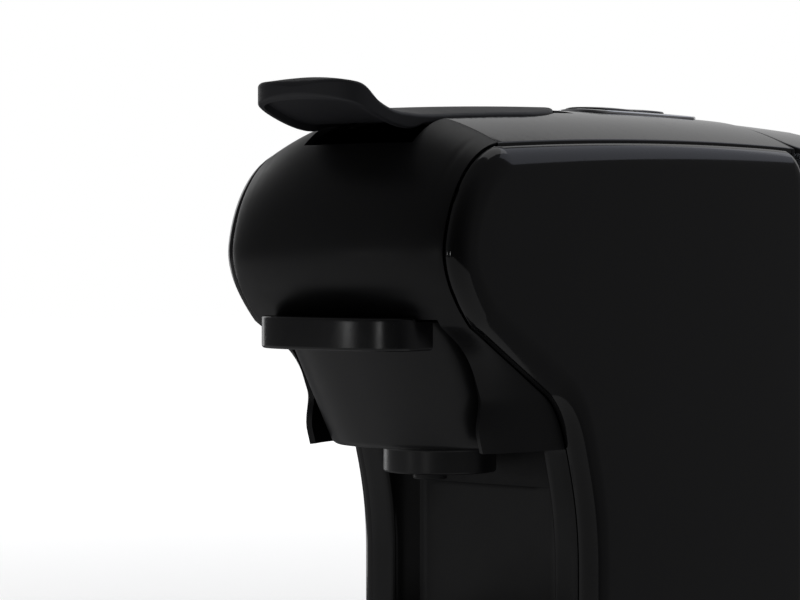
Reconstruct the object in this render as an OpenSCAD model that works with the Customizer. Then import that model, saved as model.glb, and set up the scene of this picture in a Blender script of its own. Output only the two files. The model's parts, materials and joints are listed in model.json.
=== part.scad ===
// Pod coffee machine with a slide-in capsule adapter, a top lever and a lift-off rear tank.
// Millimetres. +Z is up, the front faces -Y, X = 0 is the centre plane, Z = 0 is the worktop.

/* [Body] */
// Width over the two side panels
body_w = 118; // [112:1:124]
// Half width between the centre plane and each side seam
seam_x = 51.3; // [50:0.1:53]
// Height of the roof crest above the worktop
roof_z = 238.3; // [234:0.1:242]
// Half depth of the whole machine, lever nose to tank back
half_depth = 161; // [158:1:165]
// Wall of the moulded shells
wall = 2.4; // [2:0.1:3]

/* [Head] */
// How far the head face bulges ahead of the side seams
head_bulge = 8.5; // [5:0.5:12]
// Underside of the head, which is the top of the adapter opening
head_low_z = 155.6; // [154:0.1:158]
// Half width of the adapter bay
bay_x = 42.4; // [41:0.1:43]

/* [Lever] */
// Half width of the lever tongue
lever_x = 25; // [22:0.5:26]
// Height of the lever hinge above the worktop
lever_pivot_z = 230; // [228:0.1:231]
// Crank radius that lifts the press
crank_r = 7.6; // [6:0.1:9]

/* [Adapter] */
// Half width of the adapter body
adapter_x = 39.7; // [38:0.1:40.5]
// Capsule bore radius
capsule_r = 24; // [20:0.5:26]

/* [Water] */
// Half width of the water tank
tank_x = 49; // [46:1:51]
// Top of the tank walls
tank_top = 222; // [200:1:223]

/* [Cup area] */
// Top of the drip tray wall
tray_top = 27; // [24:1:40]

/* [Hidden] */
$fn = 48;
gap = 0.3;                 // seam between neighbouring pieces
panel_x = body_w / 2;
roof_y = 40;               // where the roof crest is highest
roof_long_r = 2500;        // roof radius seen from the side
roof_camber_r = 98;        // roof radius seen from the front
cover_y = -104.8;          // back edge of the head cover
cover_front = cover_y + 2 * gap; // front edge of the top cover
rear_y = 107;              // back face of the housing
base_z = 12;               // top of the base
foot_h = 3;
face_z = 183;              // height of the foremost point of the head
low_z = 105;               // underside of the shoulders beside the bay
col_y = -53.3;             // column front at the seam
pod_y = -80;               // capsule axis
lever_pivot_y = -18;
crank_a = 37.5;            // crank starts this far below level and ends as far above
crank_y = lever_pivot_y - crank_r * cos(crank_a);
crank_z = lever_pivot_z - crank_r * sin(crank_a);
post_x = 24;
post_y = -50;
steel = [0.72, 0.73, 0.75];
black = [0.10, 0.10, 0.11];
dark = [0.17, 0.17, 0.19];

// Side seam of the head and column, a chain of cubic curves from low to high: [Y, Z]
seam_knots = [
  [[-61.5, low_z], [-64, 113], [-67.5, 121.3], [-75.6, 126.1]],
  [[-75.6, 126.1], [-90.9, 135], [-106.2, 143.8], [-121.5, 152.6]],
  [[-121.5, 152.6], [-132, 163], [-138.2, 173], [-137, face_z]],
  [[-137, face_z], [-134.5, 200], [-124, 217.2], [cover_y, 220.4]]];
column_knots = [[col_y, 60], [-53.6, 80], [-57.5, 92], [-61.5, low_z]];

function bez(k, t) = k[0] * pow(1 - t, 3) + 3 * k[1] * t * pow(1 - t, 2)
  + 3 * k[2] * t * t * (1 - t) + k[3] * pow(t, 3);
function curve(k, n) = [for (i = [0:n - 1]) bez(k, i / n)];
function unit(v) = v / norm(v);
function roof_h(x, y) = roof_z - pow(y - roof_y, 2) / (2 * roof_long_r)
  - x * x / (2 * roof_camber_r);
function arc(c, r, a0, a1, n) = [for (i = [0:n]) let (a = a0 + (a1 - a0) * i / n)
  c + r * [cos(a), sin(a)]];
// Moves a clockwise outline inward by d, square to its edges
function edge_normal(p, i) = let (t = unit(p[(i + 1) % len(p)] - p[i])) [t[1], -t[0]];
function inset(p, d) = let (n = len(p)) [for (i = [0:n - 1])
  let (a = edge_normal(p, (i + n - 1) % n), b = edge_normal(p, i)) p[i] + d * (a + b) / (1 + a * b)];

// ---- helpers ----
module xprism(x0, x1) translate([x0, 0, 0]) rotate([90, 0, 90]) linear_extrude(x1 - x0) children();
module zprism(z0, z1) translate([0, 0, z0]) linear_extrude(z1 - z0) children();
module box(a, b) translate(a) cube(b - a);
module sides() {
  children();
  mirror([1, 0, 0]) children();
}
module cyl(c, r, h) translate(c) cylinder(h = h, r = r);
module xcyl(c, r, h) translate(c) rotate([0, 90, 0]) cylinder(h = h, r = r, center = true);
module ycyl(c, r, h) translate(c) rotate([-90, 0, 0]) cylinder(h = h, r = r);
module rrect(w, d, r) {
  square([w - 2 * r, d], center = true);
  square([w, d - 2 * r], center = true);
  for (x = [-1, 1], y = [-1, 1]) translate([x * (w / 2 - r), y * (d / 2 - r)]) circle(r);
}
module slot_y(y0, y1, r) {
  translate([-r, y0 + r]) square([2 * r, y1 - y0 - 2 * r]);
  for (y = [y0 + r, y1 - r]) translate([0, y]) circle(r);
}
// Everything under the cambered roof surface, raised by up
module under_roof(up = 0) translate([0, roof_y, roof_z - roof_long_r])
  rotate([0, 90, 0]) rotate([0, 0, 175]) rotate_extrude(angle = 10, $fn = 360) intersection() {
    translate([roof_long_r - roof_camber_r, 0]) circle(roof_camber_r + up, $fn = 180);
    translate([roof_long_r - 45, -62]) square([60, 124]);
  }
module roof_skin(up, down) difference() { under_roof(up); under_roof(-down); }

// ---- side panels: bulging shells with rolled edges ----
panel_low = base_z + gap;
panel_drop = 1;            // the panel edge sits this far below the roof edge
panel_eye = [20, 130];     // a point that sees the whole outline
function panel_outline() = concat(
  [[col_y, panel_low], [col_y, 36]],
  curve(column_knots, 5), curve(seam_knots[0], 4), [seam_knots[1][0]],
  curve(seam_knots[2], 7), curve(seam_knots[3], 8),
  [for (y = [cover_y : 28 : 90]) [y, roof_h(seam_x, y) - panel_drop]],
  arc([rear_y - 15, 208.5], 15, 78, 0, 6), [[rear_y, panel_low]]);
function ring3(p, x) = [for (q = p) [x, q[0], q[1]]];
function strip(i, j, n) = [for (k = [0:n - 1])
  [i * n + k, i * n + (k + 1) % n, j * n + (k + 1) % n, j * n + k]];
function tri(q) = [for (f = q, t = [[f[0], f[1], f[2]], [f[0], f[2], f[3]]]) t];
function flip(faces) = [for (f = faces) [for (k = [len(f) - 1:-1:0]) f[k]]];
module side_panel() {
  o = panel_outline();
  n = len(o);
  in_x = panel_x - wall;
  profile = [[9.2, in_x], [5, in_x - 1.4], [2.6, seam_x], [0, seam_x], [1, 54.2], [3.4, 56.7], [7, 58.3],
    [10.6, panel_x]]; // [inset, X] from the inner face round the edge to the outer face
  rings = [for (q = profile) each ring3(inset(o, q[0]), q[1])];
  m = len(profile);
  eyes = [[in_x, panel_eye[0], panel_eye[1]], [panel_x, panel_eye[0], panel_eye[1]]];
  faces = concat(
    [for (k = [0:n - 1]) [(k + 1) % n, k, m * n]],
    [for (i = [0:m - 2]) each tri(strip(i, i + 1, n))],
    [for (k = [0:n - 1]) [(m - 1) * n + k, (m - 1) * n + (k + 1) % n, m * n + 1]]);
  polyhedron(concat(rings, eyes), flip(faces), convexity = 6);
}
module side_panel_right() color(black) side_panel();
module side_panel_left() color(black) mirror([1, 0, 0]) side_panel();

// ---- head cover: one lofted shell with the shoulders beside the adapter bay ----
function sweep_q(x) = pow(max(0, 1 - pow(x / seam_x, 2)), 0.7);
// How far the lower rows stand ahead of the seam; the shoulders are boxier than the head
function low_reach(z, x) = let (b = max(0, min(1, (165 - z) / 15)),
  d = max(0, min(1, (150.2 - z) / 40.5)))
  (head_bulge + 49.5 * d * d * (3 - 2 * d)) * pow(max(0, 1 - pow(abs(x) / (seam_x - 0.55 * b), 2 + 3 * b)), 0.7);
function head_knots(x) = let (q = sweep_q(x), top = roof_h(x, cover_y), up = top - 220.7) [
  [cover_y, top], [-124 - 3 * q, top - 3.2], [-134.5 - head_bulge * q, 200 + 0.35 * up],
  [-137 - head_bulge * q, face_z]];
function low_point(p, x) = [p[0] - low_reach(p[1], x), p[1]];
function head_section(x) = concat(
  [for (i = [0:8]) bez(head_knots(x), i / 9)],
  [for (i = [6:-1:0]) low_point(bez(seam_knots[2], i / 6), x)],
  [for (i = [2:-1:1]) low_point(bez(seam_knots[1], i / 3), x)],
  [for (i = [5:-1:0]) low_point(bez(seam_knots[0], i / 5), x)]);
head_cols = 18;
head_edge = seam_x - gap;
function head_x(i) = head_edge * sin(-90 + 180 * i / head_cols);
head_grid = [for (i = [0:head_cols]) let (x = head_x(i)) [for (p = head_section(x * 0.995)) [x, p[0], p[1]]]];
function at(g, i, j) = g[max(0, min(len(g) - 1, i))][max(0, min(len(g[0]) - 1, j))];
function grid_in(g, d) = [for (i = [0:len(g) - 1]) [for (j = [0:len(g[0]) - 1])
  let (n = unit(cross(at(g, i + 1, j) - at(g, i - 1, j), at(g, i, j + 1) - at(g, i, j - 1))))
  g[i][j] + d * n]];
// Closes an outer and an inner grid of the same size into one shell
module grid_shell(outer, inner) {
  nj = len(outer[0]);
  ni = len(outer);
  off = ni * nj;
  pts = concat([for (r = outer) each r], [for (r = inner) each r]);
  quads = concat(
    [for (i = [0:ni - 2], j = [0:nj - 2])
      [i * nj + j, (i + 1) * nj + j, (i + 1) * nj + j + 1, i * nj + j + 1]],
    [for (i = [0:ni - 2], j = [0:nj - 2])
      [off + i * nj + j, off + i * nj + j + 1, off + (i + 1) * nj + j + 1, off + (i + 1) * nj + j]],
    [for (i = [0:ni - 2]) [i * nj, off + i * nj, off + (i + 1) * nj, (i + 1) * nj]],
    [for (i = [0:ni - 2]) let (j = nj - 1)
      [i * nj + j, (i + 1) * nj + j, off + (i + 1) * nj + j, off + i * nj + j]],
    [for (j = [0:nj - 2]) [j, j + 1, off + j + 1, off + j]],
    [for (j = [0:nj - 2]) let (i = ni - 1)
      [i * nj + j, off + i * nj + j, off + i * nj + j + 1, i * nj + j + 1]]);
  polyhedron(pts, tri(quads), convexity = 8);
}
notch_x = lever_x + 1.4;   // finger notch under the lever nose
notch_z = 221;
function head_face_y(x, z) = lookup(z, [for (i = [8:-1:0]) let (p = bez(head_knots(x), i / 9)) [p[1], p[0]]]);
module front_cover() color(dark) {
  difference() {
    grid_shell(head_grid, grid_in(head_grid, wall));
    box([-bay_x, -170, 90], [bay_x, -20, head_low_z]);
    box([-notch_x, -170, notch_z], [notch_x, -100, 250]);
  }
  // floor of the notch, tied into the shell
  zprism(notch_z - wall, notch_z) polygon(concat(
    [for (x = [-28:7:28]) [x, head_face_y(x, notch_z) + 0.9]], [[28, cover_y], [-28, cover_y]]));
  sides() xprism(notch_x, notch_x + 1.8) polygon(concat(
    [for (i = [0:5]) bez(head_knots(notch_x + 1.8), i / 9) + [0.5, -0.8]], [[cover_y, notch_z - 1]]));
}

// ---- top cover with the shallow bed for the lever ----
lever_tip_y = -10.5;
lever_up = 1.2;            // lever top above the roof
lever_down = 1.9;          // lever underside below the roof
nose_round_y = -140;       // the nose rounds off ahead of here
tail_round_y = -55;        // and the tail behind here
nose_round = half_depth + nose_round_y;
tail_round = lever_tip_y - tail_round_y;
function lever_w(y) = max(1.2,
  y < nose_round_y ? lever_x * pow(max(0, 1 - pow((nose_round_y - y) / nose_round, 5)), 0.45) :
  y < tail_round_y ? lever_x : lever_x * sqrt(max(0, 1 - pow((y - tail_round_y) / tail_round, 2))));
function lever_plan(y0, grow) = let (ys = concat([y0],
  [for (i = [0:12]) tail_round_y + (lever_tip_y - tail_round_y) * sin(90 * i / 12)]))
  concat([for (y = ys) [lever_w(y) + grow, y + (y > -12 ? grow : 0)]],
    [for (i = [len(ys) - 1:-1:0]) [-lever_w(ys[i]) - grow, ys[i] + (ys[i] > -12 ? grow : 0)]]);
slot_x = 13.2;             // half width of the opening over the linkage
open_x = 18.6;             // and where the lever tail dips in
function tail_at(x) = tail_round_y + tail_round * sqrt(1 - pow(x / lever_x, 2));
// How far back the lever tail reaches at x while the lever swings up, with clearance
function tail_sweep(x) = lever_pivot_y + 0.4 + norm([max(0, tail_at(x) - lever_pivot_y),
  roof_h(x, lever_pivot_y) + lever_up - lever_pivot_z]);
button_x = 10.4;           // half width of the two buttons
small_y = [17, 45.4];
large_y = [46.6, 75];
lamp_y = 88;
ring_y = [13.6, 97];
module button_plan(y, grow) difference() {
  slot_y(small_y[0] - grow, large_y[1] + grow, button_x + grow);
  translate([-30, y[0] - grow - 60]) square([60, 60]);
  translate([-30, y[1] + grow]) square([60, 60]);
}
module top_cover() color(black) difference() {
  union() {
    intersection() {
      roof_skin(0, wall);
      box([-head_edge, cover_front, 190], [head_edge, rear_y - wall - gap, 250]);
    }
    intersection() {
      roof_skin(0, 4.4);
      box([-28, cover_front, 190], [28, 0, 250]);
    }
    intersection() {
      under_roof(0);
      union() {
        sides() box([48.4, cover_front, 206], [head_edge, rear_y - wall - gap, 250]);
        box([-head_edge, cover_front, 214], [head_edge, cover_front + wall, 250]);
        for (x = [-14, 14], y = [22, 90]) cyl([x, y, board_z], 2.5, 30);
      }
    }
  }
  intersection() {
    roof_skin(5, lever_down + 0.4);
    zprism(200, 250) polygon(lever_plan(-110, 0.5));
  }
  zprism(200, 250) {
    translate([-slot_x, -36]) square([2 * slot_x, 13]);
    polygon(concat([[-open_x, -24], [open_x, -24]],
      [for (x = [open_x : -open_x / 8 : -open_x]) [x, tail_sweep(x)]]));
    slot_y(small_y[0] - 0.4, large_y[1] + 0.4, button_x + 0.4);
    translate([0, lamp_y]) circle(4.2);
  }
}

// ---- lever ----
nose_top = [[[-110, 235], [-127, 234.4], [-133, 236], [-139.5, 239.2]],
  [[-139.5, 239.2], [-146, 242.4], [-147.5, 245.2], [-152.5, 245]],
  [[-152.5, 245], [-157, 244.8], [-160.6, 243.8], [-half_depth, 241.4]]];
nose_low = [[[-106, 231.2], [-112, 230.8], [-117, 226.4], [-123, 226.3]],
  [[-123, 226.3], [-131, 226.2], [-142, 229.6], [-152, 233.8]],
  [[-152, 233.8], [-156, 235.2], [-159.5, 236.2], [-half_depth, 238.2]]];
function height_of(knots, y) = lookup(y, [for (k = [2:-1:0]) each
  [for (i = [8:-1:0]) bez(knots[k], i / 8)]]);
function lever_drop(y) = pow(lever_w(y), 2) / (2 * roof_camber_r) + 1.8 * max(0, min(1, (-125 - y) / 25));
function lever_top(u, y) = (y > -110 ? roof_h(0, y) + lever_up : height_of(nose_top, y))
  - lever_drop(y) * u * u;
function lever_low(u, y) = y > -106 ? roof_h(0, y) - lever_down - lever_drop(y) * u * u
  : height_of(nose_low, y) + (abs(u) < 0.86 ? 2.6 * min(1, (-106 - y) / 12, max(0, (y + 159) / 6)) : 0);
lever_rows = [-half_depth + 0.05, -160.6, -159.6, -158, -155.5, -152.5, -149, -145.5, -142, -138.5, -135,
  -131, -127, -123, -119, -115, -111, -107, -103, -90, -72, -55, -46, -38, -31, -25, -20, -16, -13, -11.4,
  lever_tip_y - 0.05];
lever_cols = [-1, -0.9, -0.84, -0.55, -0.2, 0.2, 0.55, 0.84, 0.9, 1];
module lever() color(dark) difference() {
  union() {
    grid_shell([for (u = lever_cols) [for (y = lever_rows) [u * lever_w(y), y, lever_low(u, y)]]],
      [for (u = lever_cols) [for (y = lever_rows) [u * lever_w(y), y, lever_top(u, y)]]]);
    sides() {
      xcyl([6.6, lever_pivot_y, lever_pivot_z], 4.2, 3.2);
      box([5, lever_pivot_y - 4.2, lever_pivot_z], [8.2, lever_pivot_y + 3, lever_pivot_z + 6.2]);
      xcyl([6.6, crank_y, crank_z], 3.6, 3.2);
      box([5, crank_y - 3.6, crank_z], [8.2, crank_y + 7, crank_z + 10.8]);
    }
  }
  xcyl([0, lever_pivot_y, lever_pivot_z], 2.07, 30);
  xcyl([0, crank_y, crank_z], 1.8, 30);
}

module lever_pin() color(steel) xcyl([0, lever_pivot_y, lever_pivot_z], 2, 23.6);
module crank_pin() color(steel) xcyl([0, crank_y, crank_z], 1.8, 16.4);

// ---- brew group: press, guides and bridge ----
bridge_z = 215;
bay_back = -44;
plate_z = 157.2;           // underside of the bay roof plate
module hinge_bracket() color(steel) difference() {
  sides() {
    xprism(8.6, 11.8) {
      translate([lever_pivot_y - 7, bridge_z + 3]) square([14, 6]);
      translate([lever_pivot_y - 4.2, bridge_z + 3]) square([8.4, lever_pivot_z - bridge_z - 3]);
      translate([lever_pivot_y, lever_pivot_z]) circle(4.2);
    }
    box([11.8, lever_pivot_y - 7, bridge_z + 3], [22, lever_pivot_y + 7, bridge_z + 5]);
  }
  xcyl([0, lever_pivot_y, lever_pivot_z], 2.02, 30);
}
module brew_bridge() color(steel) difference() {
  zprism(bridge_z, bridge_z + 3) difference() {
    translate([-47, -62]) square([94, 58]);
    translate([-8.4, -34]) square([16.8, 24]);
    for (x = [-36, 36]) translate([x, -30]) circle(7);
  }
  sides() cyl([post_x, post_y, 200], 4.02, 30);
}
module guide_posts() color(steel) sides() cyl([post_x, post_y, plate_z + 3], 4, bridge_z + 5 - plate_z - 3);
module brew_housing() color(black) {
  sides() {
    xprism(bay_x + gap, bay_x + 2.3) polygon([[bay_back, low_z + 2.4], [-76, low_z + 2.4], [-86, 130],
      [-110, 153], [-110, plate_z + 3], [bay_back, plate_z + 3]]);
    box([38.3, -86, 128.2], [bay_x + gap, bay_back, 131.2]);
  }
  box([-bay_x - 2.3, bay_back, low_z + 2.4], [bay_x + 2.3, bay_back + 2, plate_z + 3]);
  box([-33.4, bay_back, 88], [33.4, bay_back + 2, low_z + 2.4]);
  zprism(plate_z, plate_z + 3) difference() {
    translate([-bay_x - gap, -110]) square([2 * (bay_x + gap), 110 + bay_back]);
    translate([0, pod_y]) circle(22.3);
  }
}
lug_x = 4;
inlet_z = 176;             // side inlet of the press stem
module press_carriage() color(steel) difference() {
  union() {
    box([-9, pod_y, 188], [9, -20.5, 196]);
    box([-lug_x, crank_y - 5.6, 196], [lug_x, -20.5, crank_z + 3.7]);
    box([-post_x, post_y - 5, 188], [post_x, post_y + 5, 196]);
    sides() cyl([post_x, post_y, 184], 7, 16);
    cyl([0, pod_y, 164], 10, 32);
  }
  sides() cyl([post_x, post_y, 180], 4.1, 30);
  cyl([0, pod_y, 160], 2, 18);
  xcyl([8, pod_y, inlet_z], 2, 16);
  xprism(-10, 10) translate([crank_y - 3.6, crank_z - 2.1]) square([5.6, 4.2]);
}
module press_head() color(dark) difference() {
  cyl([0, pod_y, 156.9], 21.5, 7.1);
  cyl([0, pod_y, 150], 2, 20);
  cyl([0, pod_y, 150], 17, 9.4);
}
module press_seal() color([0.75, 0.3, 0.2]) difference() {
  cyl([0, pod_y, 155.2], 21, 1.7);
  cyl([0, pod_y, 150], 17, 20);
}
needle_y = pod_y + 13;
module inlet_needle() color(steel) {
  cyl([0, pod_y, 156.9], 16.9, 2.5);
  cyl([0, needle_y, 152.4], 1.5, 4.5);
  translate([0, needle_y, 149.6]) cylinder(h = 2.8, r1 = 0.4, r2 = 1.5);
}
module press_inlet() color([0.8, 0.65, 0.3]) difference() {
  union() {
    xcyl([11.5, pod_y, inlet_z], 3.4, 3);
    xcyl([14, pod_y, inlet_z], 2.6, 2);
  }
  xcyl([12, pod_y, inlet_z], 1.6, 10);
}

// ---- adapter: the drawer that holds the capsule ----
adapter_top = 154.9;
adapter_low = 105.6;
adapter_back = -45.4;
adapter_lean = 30.6;       // how far the front leans back from top to bottom
adapter_nose = -142;       // front centre at the top
adapter_round = 38;        // depth of its rounded front
grip_w = 36;
grip_nose = -149;
grip_round = 16;
grip_back = -134.4;        // the upper lip stops just ahead of the head
// Rounded front, straight sides
function adapter_plan(w, nose, back, deep = adapter_round) = concat(
  [for (i = [0:16]) let (a = 180 + 180 * i / 16, c = cos(a), s = sin(a))
    [w * (c < 0 ? -1 : 1) * pow(abs(c), 0.8), nose + deep - deep * pow(abs(s), 0.8)]],
    [[w, back], [-w, back]]);
module lean_prism(w, nose, back, z0, z1) {
  k = adapter_lean / (adapter_top - adapter_low);
  low = adapter_plan(w, nose + (adapter_top - z0) * k, back);
  high = adapter_plan(w, nose + (adapter_top - z1) * k, back);
  n = len(low);
  polyhedron(concat([for (q = low) [q[0], q[1], z0]], [for (q = high) [q[0], q[1], z1]]),
    flip(concat([[for (k = [n - 1:-1:0]) k]], tri(strip(0, 1, n)), [[for (k = [0:n - 1]) n + k]])),
    convexity = 4);
}
module adapter_body() color(dark) difference() {
  lean_prism(adapter_x, adapter_nose, adapter_back, adapter_low, adapter_top);
  lean_prism(adapter_x - wall, adapter_nose + 3, adapter_back - wall, adapter_low - 1, adapter_top - wall);
  cyl([0, pod_y, 100], capsule_r + 2.4, 60);
  sides() box([38, -90, 127.8], [50, adapter_back + 1, 131.6]);
  box([-2.4, pod_y, 148.6], [2.4, adapter_back + 1, adapter_top + 1]);
}
module adapter_grip() color(black) difference() {
  union() {
    zprism(144, adapter_top) polygon(adapter_plan(grip_w, grip_nose, -124, grip_round));
    zprism(adapter_top, 156.3) intersection() {
      polygon(adapter_plan(grip_w, grip_nose, -124, grip_round));
      translate([-grip_w, grip_nose]) square([2 * grip_w, grip_back - grip_nose]);
    }
  }
  lean_prism(adapter_x, adapter_nose, adapter_back, 140, adapter_top);
  zprism(140, 152.4) polygon(adapter_plan(grip_w - 2.6, grip_nose + 2.6, -100, grip_round));
}
module capsule_cup() color(steel) difference() {
  cyl([0, pod_y, 108.6], capsule_r + 2.2, adapter_top - 108.6);
  cyl([0, pod_y, 110.6], capsule_r - 2, 60);
  cyl([0, pod_y, adapter_top - 2], capsule_r, 60);
  cyl([0, pod_y, 100], 3, 20);
  box([-2.4, pod_y, 148.6], [2.4, adapter_back, adapter_top + 1]);
}
module outlet_sieve() color(steel) difference() {
  cyl([0, pod_y, 110.6], capsule_r - 2.3, 1.2);
  for (r = [5, 10, 15], i = [0:11]) cyl([r * cos(30 * i), pod_y + r * sin(30 * i), 110], 0.7, 3);
}
outlet_y = -74;
module outlet_collar() color(dark) difference() {
  union() {
    cyl([0, outlet_y, 95], 22, 9.6);
    cyl([0, outlet_y, 104.6], 24.5, 3.7);
  }
  cyl([0, outlet_y, 97], 20, 20);
  cyl([0, outlet_y - 6, 90], 4.1, 20);
}
module outlet_nozzle() color(black) difference() {
  union() {
    cyl([0, outlet_y - 6, 92.4], 6.5, 2.6);
    cyl([0, outlet_y - 6, 95], 4.05, 3.4);
  }
  cyl([0, outlet_y - 6, 90], 2.6, 12);
}

// ---- column, frame and rear ----
channel_x = 34;
channel_d = 10;
column_face = concat([[col_y, base_z + gap], [col_y, 36]], curve(column_knots, 6), [[-61.5, low_z]]);
column_back = -40.8;
lip = 5.6;                 // the channel mouth is this much wider than its back, each side
function channel_side(s, grow) = [for (i = [0:6])
  [s * (channel_x + lip * pow(cos(15 * i), 2) + grow), col_y - 1 + (channel_d + 1 + grow) * sin(15 * i)]];
function back_to_front(p) = [for (i = [len(p) - 1:-1:0]) p[i]];
module channel_plan(grow) polygon(concat([[-channel_x - lip - grow, col_y - 12]], channel_side(-1, grow),
  back_to_front(channel_side(1, grow)), [[channel_x + lip + grow, col_y - 12]]));
module column_block(d, ext) difference() {
  xprism(-head_edge + d, head_edge - d) polygon(concat([[col_y + d, base_z + gap - ext]],
    [for (q = column_face) q + [d, 0]], [[-61.5 + d, low_z + ext], [column_back + ext, low_z + ext],
    [column_back + ext, base_z + gap - ext]]));
  zprism(0, 150) channel_plan(d);
}
module column_front() color(black) difference() {
  column_block(0, 0);
  column_block(wall, 1);
  box([-channel_x, -60, 86.5], [channel_x, -38, 120]);
}
module inner_frame() color([0.3, 0.3, 0.32]) {
  sides() xprism(45.2, 47.2) difference() {
    translate([-38.4, 15]) square([139, bridge_z - 15]);
    translate([-20, 40]) square([96, 44]);
    translate([-20, 122]) square([96, 44]);
  }
  box([-45.2, -38.4, 15], [45.2, -36.4, 150]);
  box([-45.2, 98.6, 15], [45.2, 100.6, 60]);
  box([-45.2, 98.6, 190], [45.2, 100.6, bridge_z]);
  box([-28, -36.4, 116], [24, 10, 117.8]);
  for (x = [-30, 30], z = [118, 144]) ycyl([x, -42, z], 3, 3.6);
}
vent_n = 9;
module rear_cover() color(black) difference() {
  union() {
    box([-head_edge, rear_y - wall, base_z + gap], [head_edge, rear_y, 200]);
    intersection() {
      under_roof(-0.2);
      box([-head_edge, rear_y - wall, 200], [head_edge, rear_y, 250]);
    }
  }
  for (i = [0:vent_n - 1]) box([-32, rear_y - 5, 150 + 6 * i], [32, rear_y + 2, 153 + 6 * i]);
  ycyl([-36, rear_y - 5, 24], 6.1, 10);
}
module cable_gland() color(black) difference() {
  union() {
    ycyl([-36, rear_y - wall, 24], 6.1, wall);
    ycyl([-36, rear_y, 24], 8, 1.4);
    ycyl([-36, rear_y - wall - 3, 24], 5, 3);
  }
  ycyl([-36, rear_y - 10, 24], 3.4, 20);
}

// ---- base ----
module base_plan(grow) {
  translate([0, (col_y + half_depth) / 2])
    rrect(2 * (seam_x + 6) + 2 * grow, half_depth - col_y + 2 * grow - 1, 10);
  translate([0, -88]) rrect(90 + 2 * grow, 104 + 2 * grow, 20);
}
valve_y = 138;             // tank valve
hose_hole = [32, 91.4];    // where the tank hose comes up through the base
module base_housing() color(dark) difference() {
  zprism(foot_h, base_z) difference() {
    base_plan(0);
    translate([0, valve_y]) circle(8.3);
    translate(hose_hole) circle(6);
  }
  zprism(0, base_z - wall) difference() {
    base_plan(-wall);
    translate([0, valve_y]) circle(11);
  }
  ycyl([0, valve_y - 14, 7.2], 2.5, 8);
  box([-60, -150, 9], [60, col_y - 1, 20]);
}
module bottom_plate() color(black) zprism(foot_h, foot_h + 1.8) difference() {
  base_plan(-wall - gap);
  translate([0, valve_y]) circle(11.3);
}
foot_places = [[-34, -122], [34, -122], [-46, -20], [46, -20], [-46, 146], [46, 146]];
module feet() color(black) for (q = foot_places) cyl([q[0], q[1], 0], 7, foot_h);

// ---- water tank ----
tank_y = [109.4, half_depth];
tank_low = base_z + 1.2;
module tank_plan(grow) translate([0, (tank_y[0] + tank_y[1]) / 2])
  rrect(2 * tank_x + 2 * grow, tank_y[1] - tank_y[0] + 2 * grow, 9 + grow);
lid_pin = [0, half_depth - 1.8, tank_top + 2.1];
knuckle = [18, 28];        // X range of each tank knuckle; the lid's own knuckle is between them
module water_tank() color([0.45, 0.48, 0.52, 0.5]) {
  difference() {
    zprism(tank_low, tank_top) tank_plan(0);
    zprism(tank_low + 2.4, tank_top + 1) tank_plan(-2.2);
    cyl([0, valve_y, 0], 6, 40);
  }
  sides() {
    xcyl([(knuckle[0] + knuckle[1]) / 2, lid_pin[1], lid_pin[2]], 1.8, knuckle[1] - knuckle[0]);
    box([knuckle[0], half_depth - 2, tank_top - 1], [knuckle[1], half_depth, lid_pin[2]]);
  }
  xcyl(lid_pin, 1, 2 * knuckle[1] - 4);
}
valve_top = tank_low + 8.4;
module tank_outlet() color(black) difference() {
  union() {
    cyl([0, valve_y, tank_low - 4], 5.9, valve_top - tank_low + 4);
    cyl([0, valve_y, tank_low + 2.4], 9, 2);
  }
  cyl([0, valve_y, 0], 3.2, 18.4);
  cyl([0, valve_y, 0], 1.4, 40);
}
module tank_seat() color([0.6, 0.2, 0.2]) {
  difference() {
    cyl([0, valve_y, 4.8], 8.2, base_z - 4.8 + 0.6);
    cyl([0, valve_y, 8.6], 6.3, 10);
    ycyl([0, valve_y - 10, 7.2], 1.4, 10);
  }
  cyl([0, valve_y, 8.6], 1, 3.2);
}
module tank_lid() color(black) difference() {
  union() {
    difference() {
      intersection() {
        under_roof(-0.6);
        zprism(tank_top + 0.2, 250) tank_plan(0);
      }
      intersection() {
        under_roof(-3);
        zprism(tank_top - 1, 250) tank_plan(-2.4);
      }
      box([-60, lid_pin[1], tank_top - 1], [60, half_depth + 1, lid_pin[2]]);
    }
    xcyl(lid_pin, 1.8, 2 * knuckle[0] - 0.6);
  }
  sides() box([knuckle[0] - 0.3, lid_pin[1] - 2.4, tank_top - 1],
    [knuckle[1] + 0.4, half_depth + 1, lid_pin[2] + 2.3]);
  xcyl(lid_pin, 1.06, 60);
}

// ---- drip tray ----
tray_x = 50;
tray_floor = 9.4;
tray_back = -56.2;
module tray_plan(grow) polygon(concat(
  [for (i = [0:18]) let (a = 180 + 180 * i / 18, c = cos(a), s = sin(a))
    [(tray_x + grow) * (c < 0 ? -1 : 1) * pow(abs(c), 0.55), -112 - (36 + grow) * pow(abs(s), 0.8)]],
  [[tray_x + grow, tray_back + grow], [-tray_x - grow, tray_back + grow]]));
grid_low = tray_top - 2.2;
module drip_tray() color(black) {
  difference() {
    zprism(tray_floor, tray_top) tray_plan(0);
    zprism(tray_floor + 2, tray_top + 1) tray_plan(-2.2);
  }
  for (x = [-40, 40], y = [-62, -118]) cyl([x, y, tray_floor + 2], 3, grid_low - tray_floor - 2.1);
}
float_y = -126;
module drip_grid() color(steel) zprism(grid_low, tray_top) difference() {
  tray_plan(-2.6);
  for (i = [-5:5]) translate([7.4 * i, 0]) slot_y(i == 0 ? float_y + 8 : -136 + abs(i) * 2, -66, 1.9);
  translate([0, float_y]) circle(3.2);
}

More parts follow.
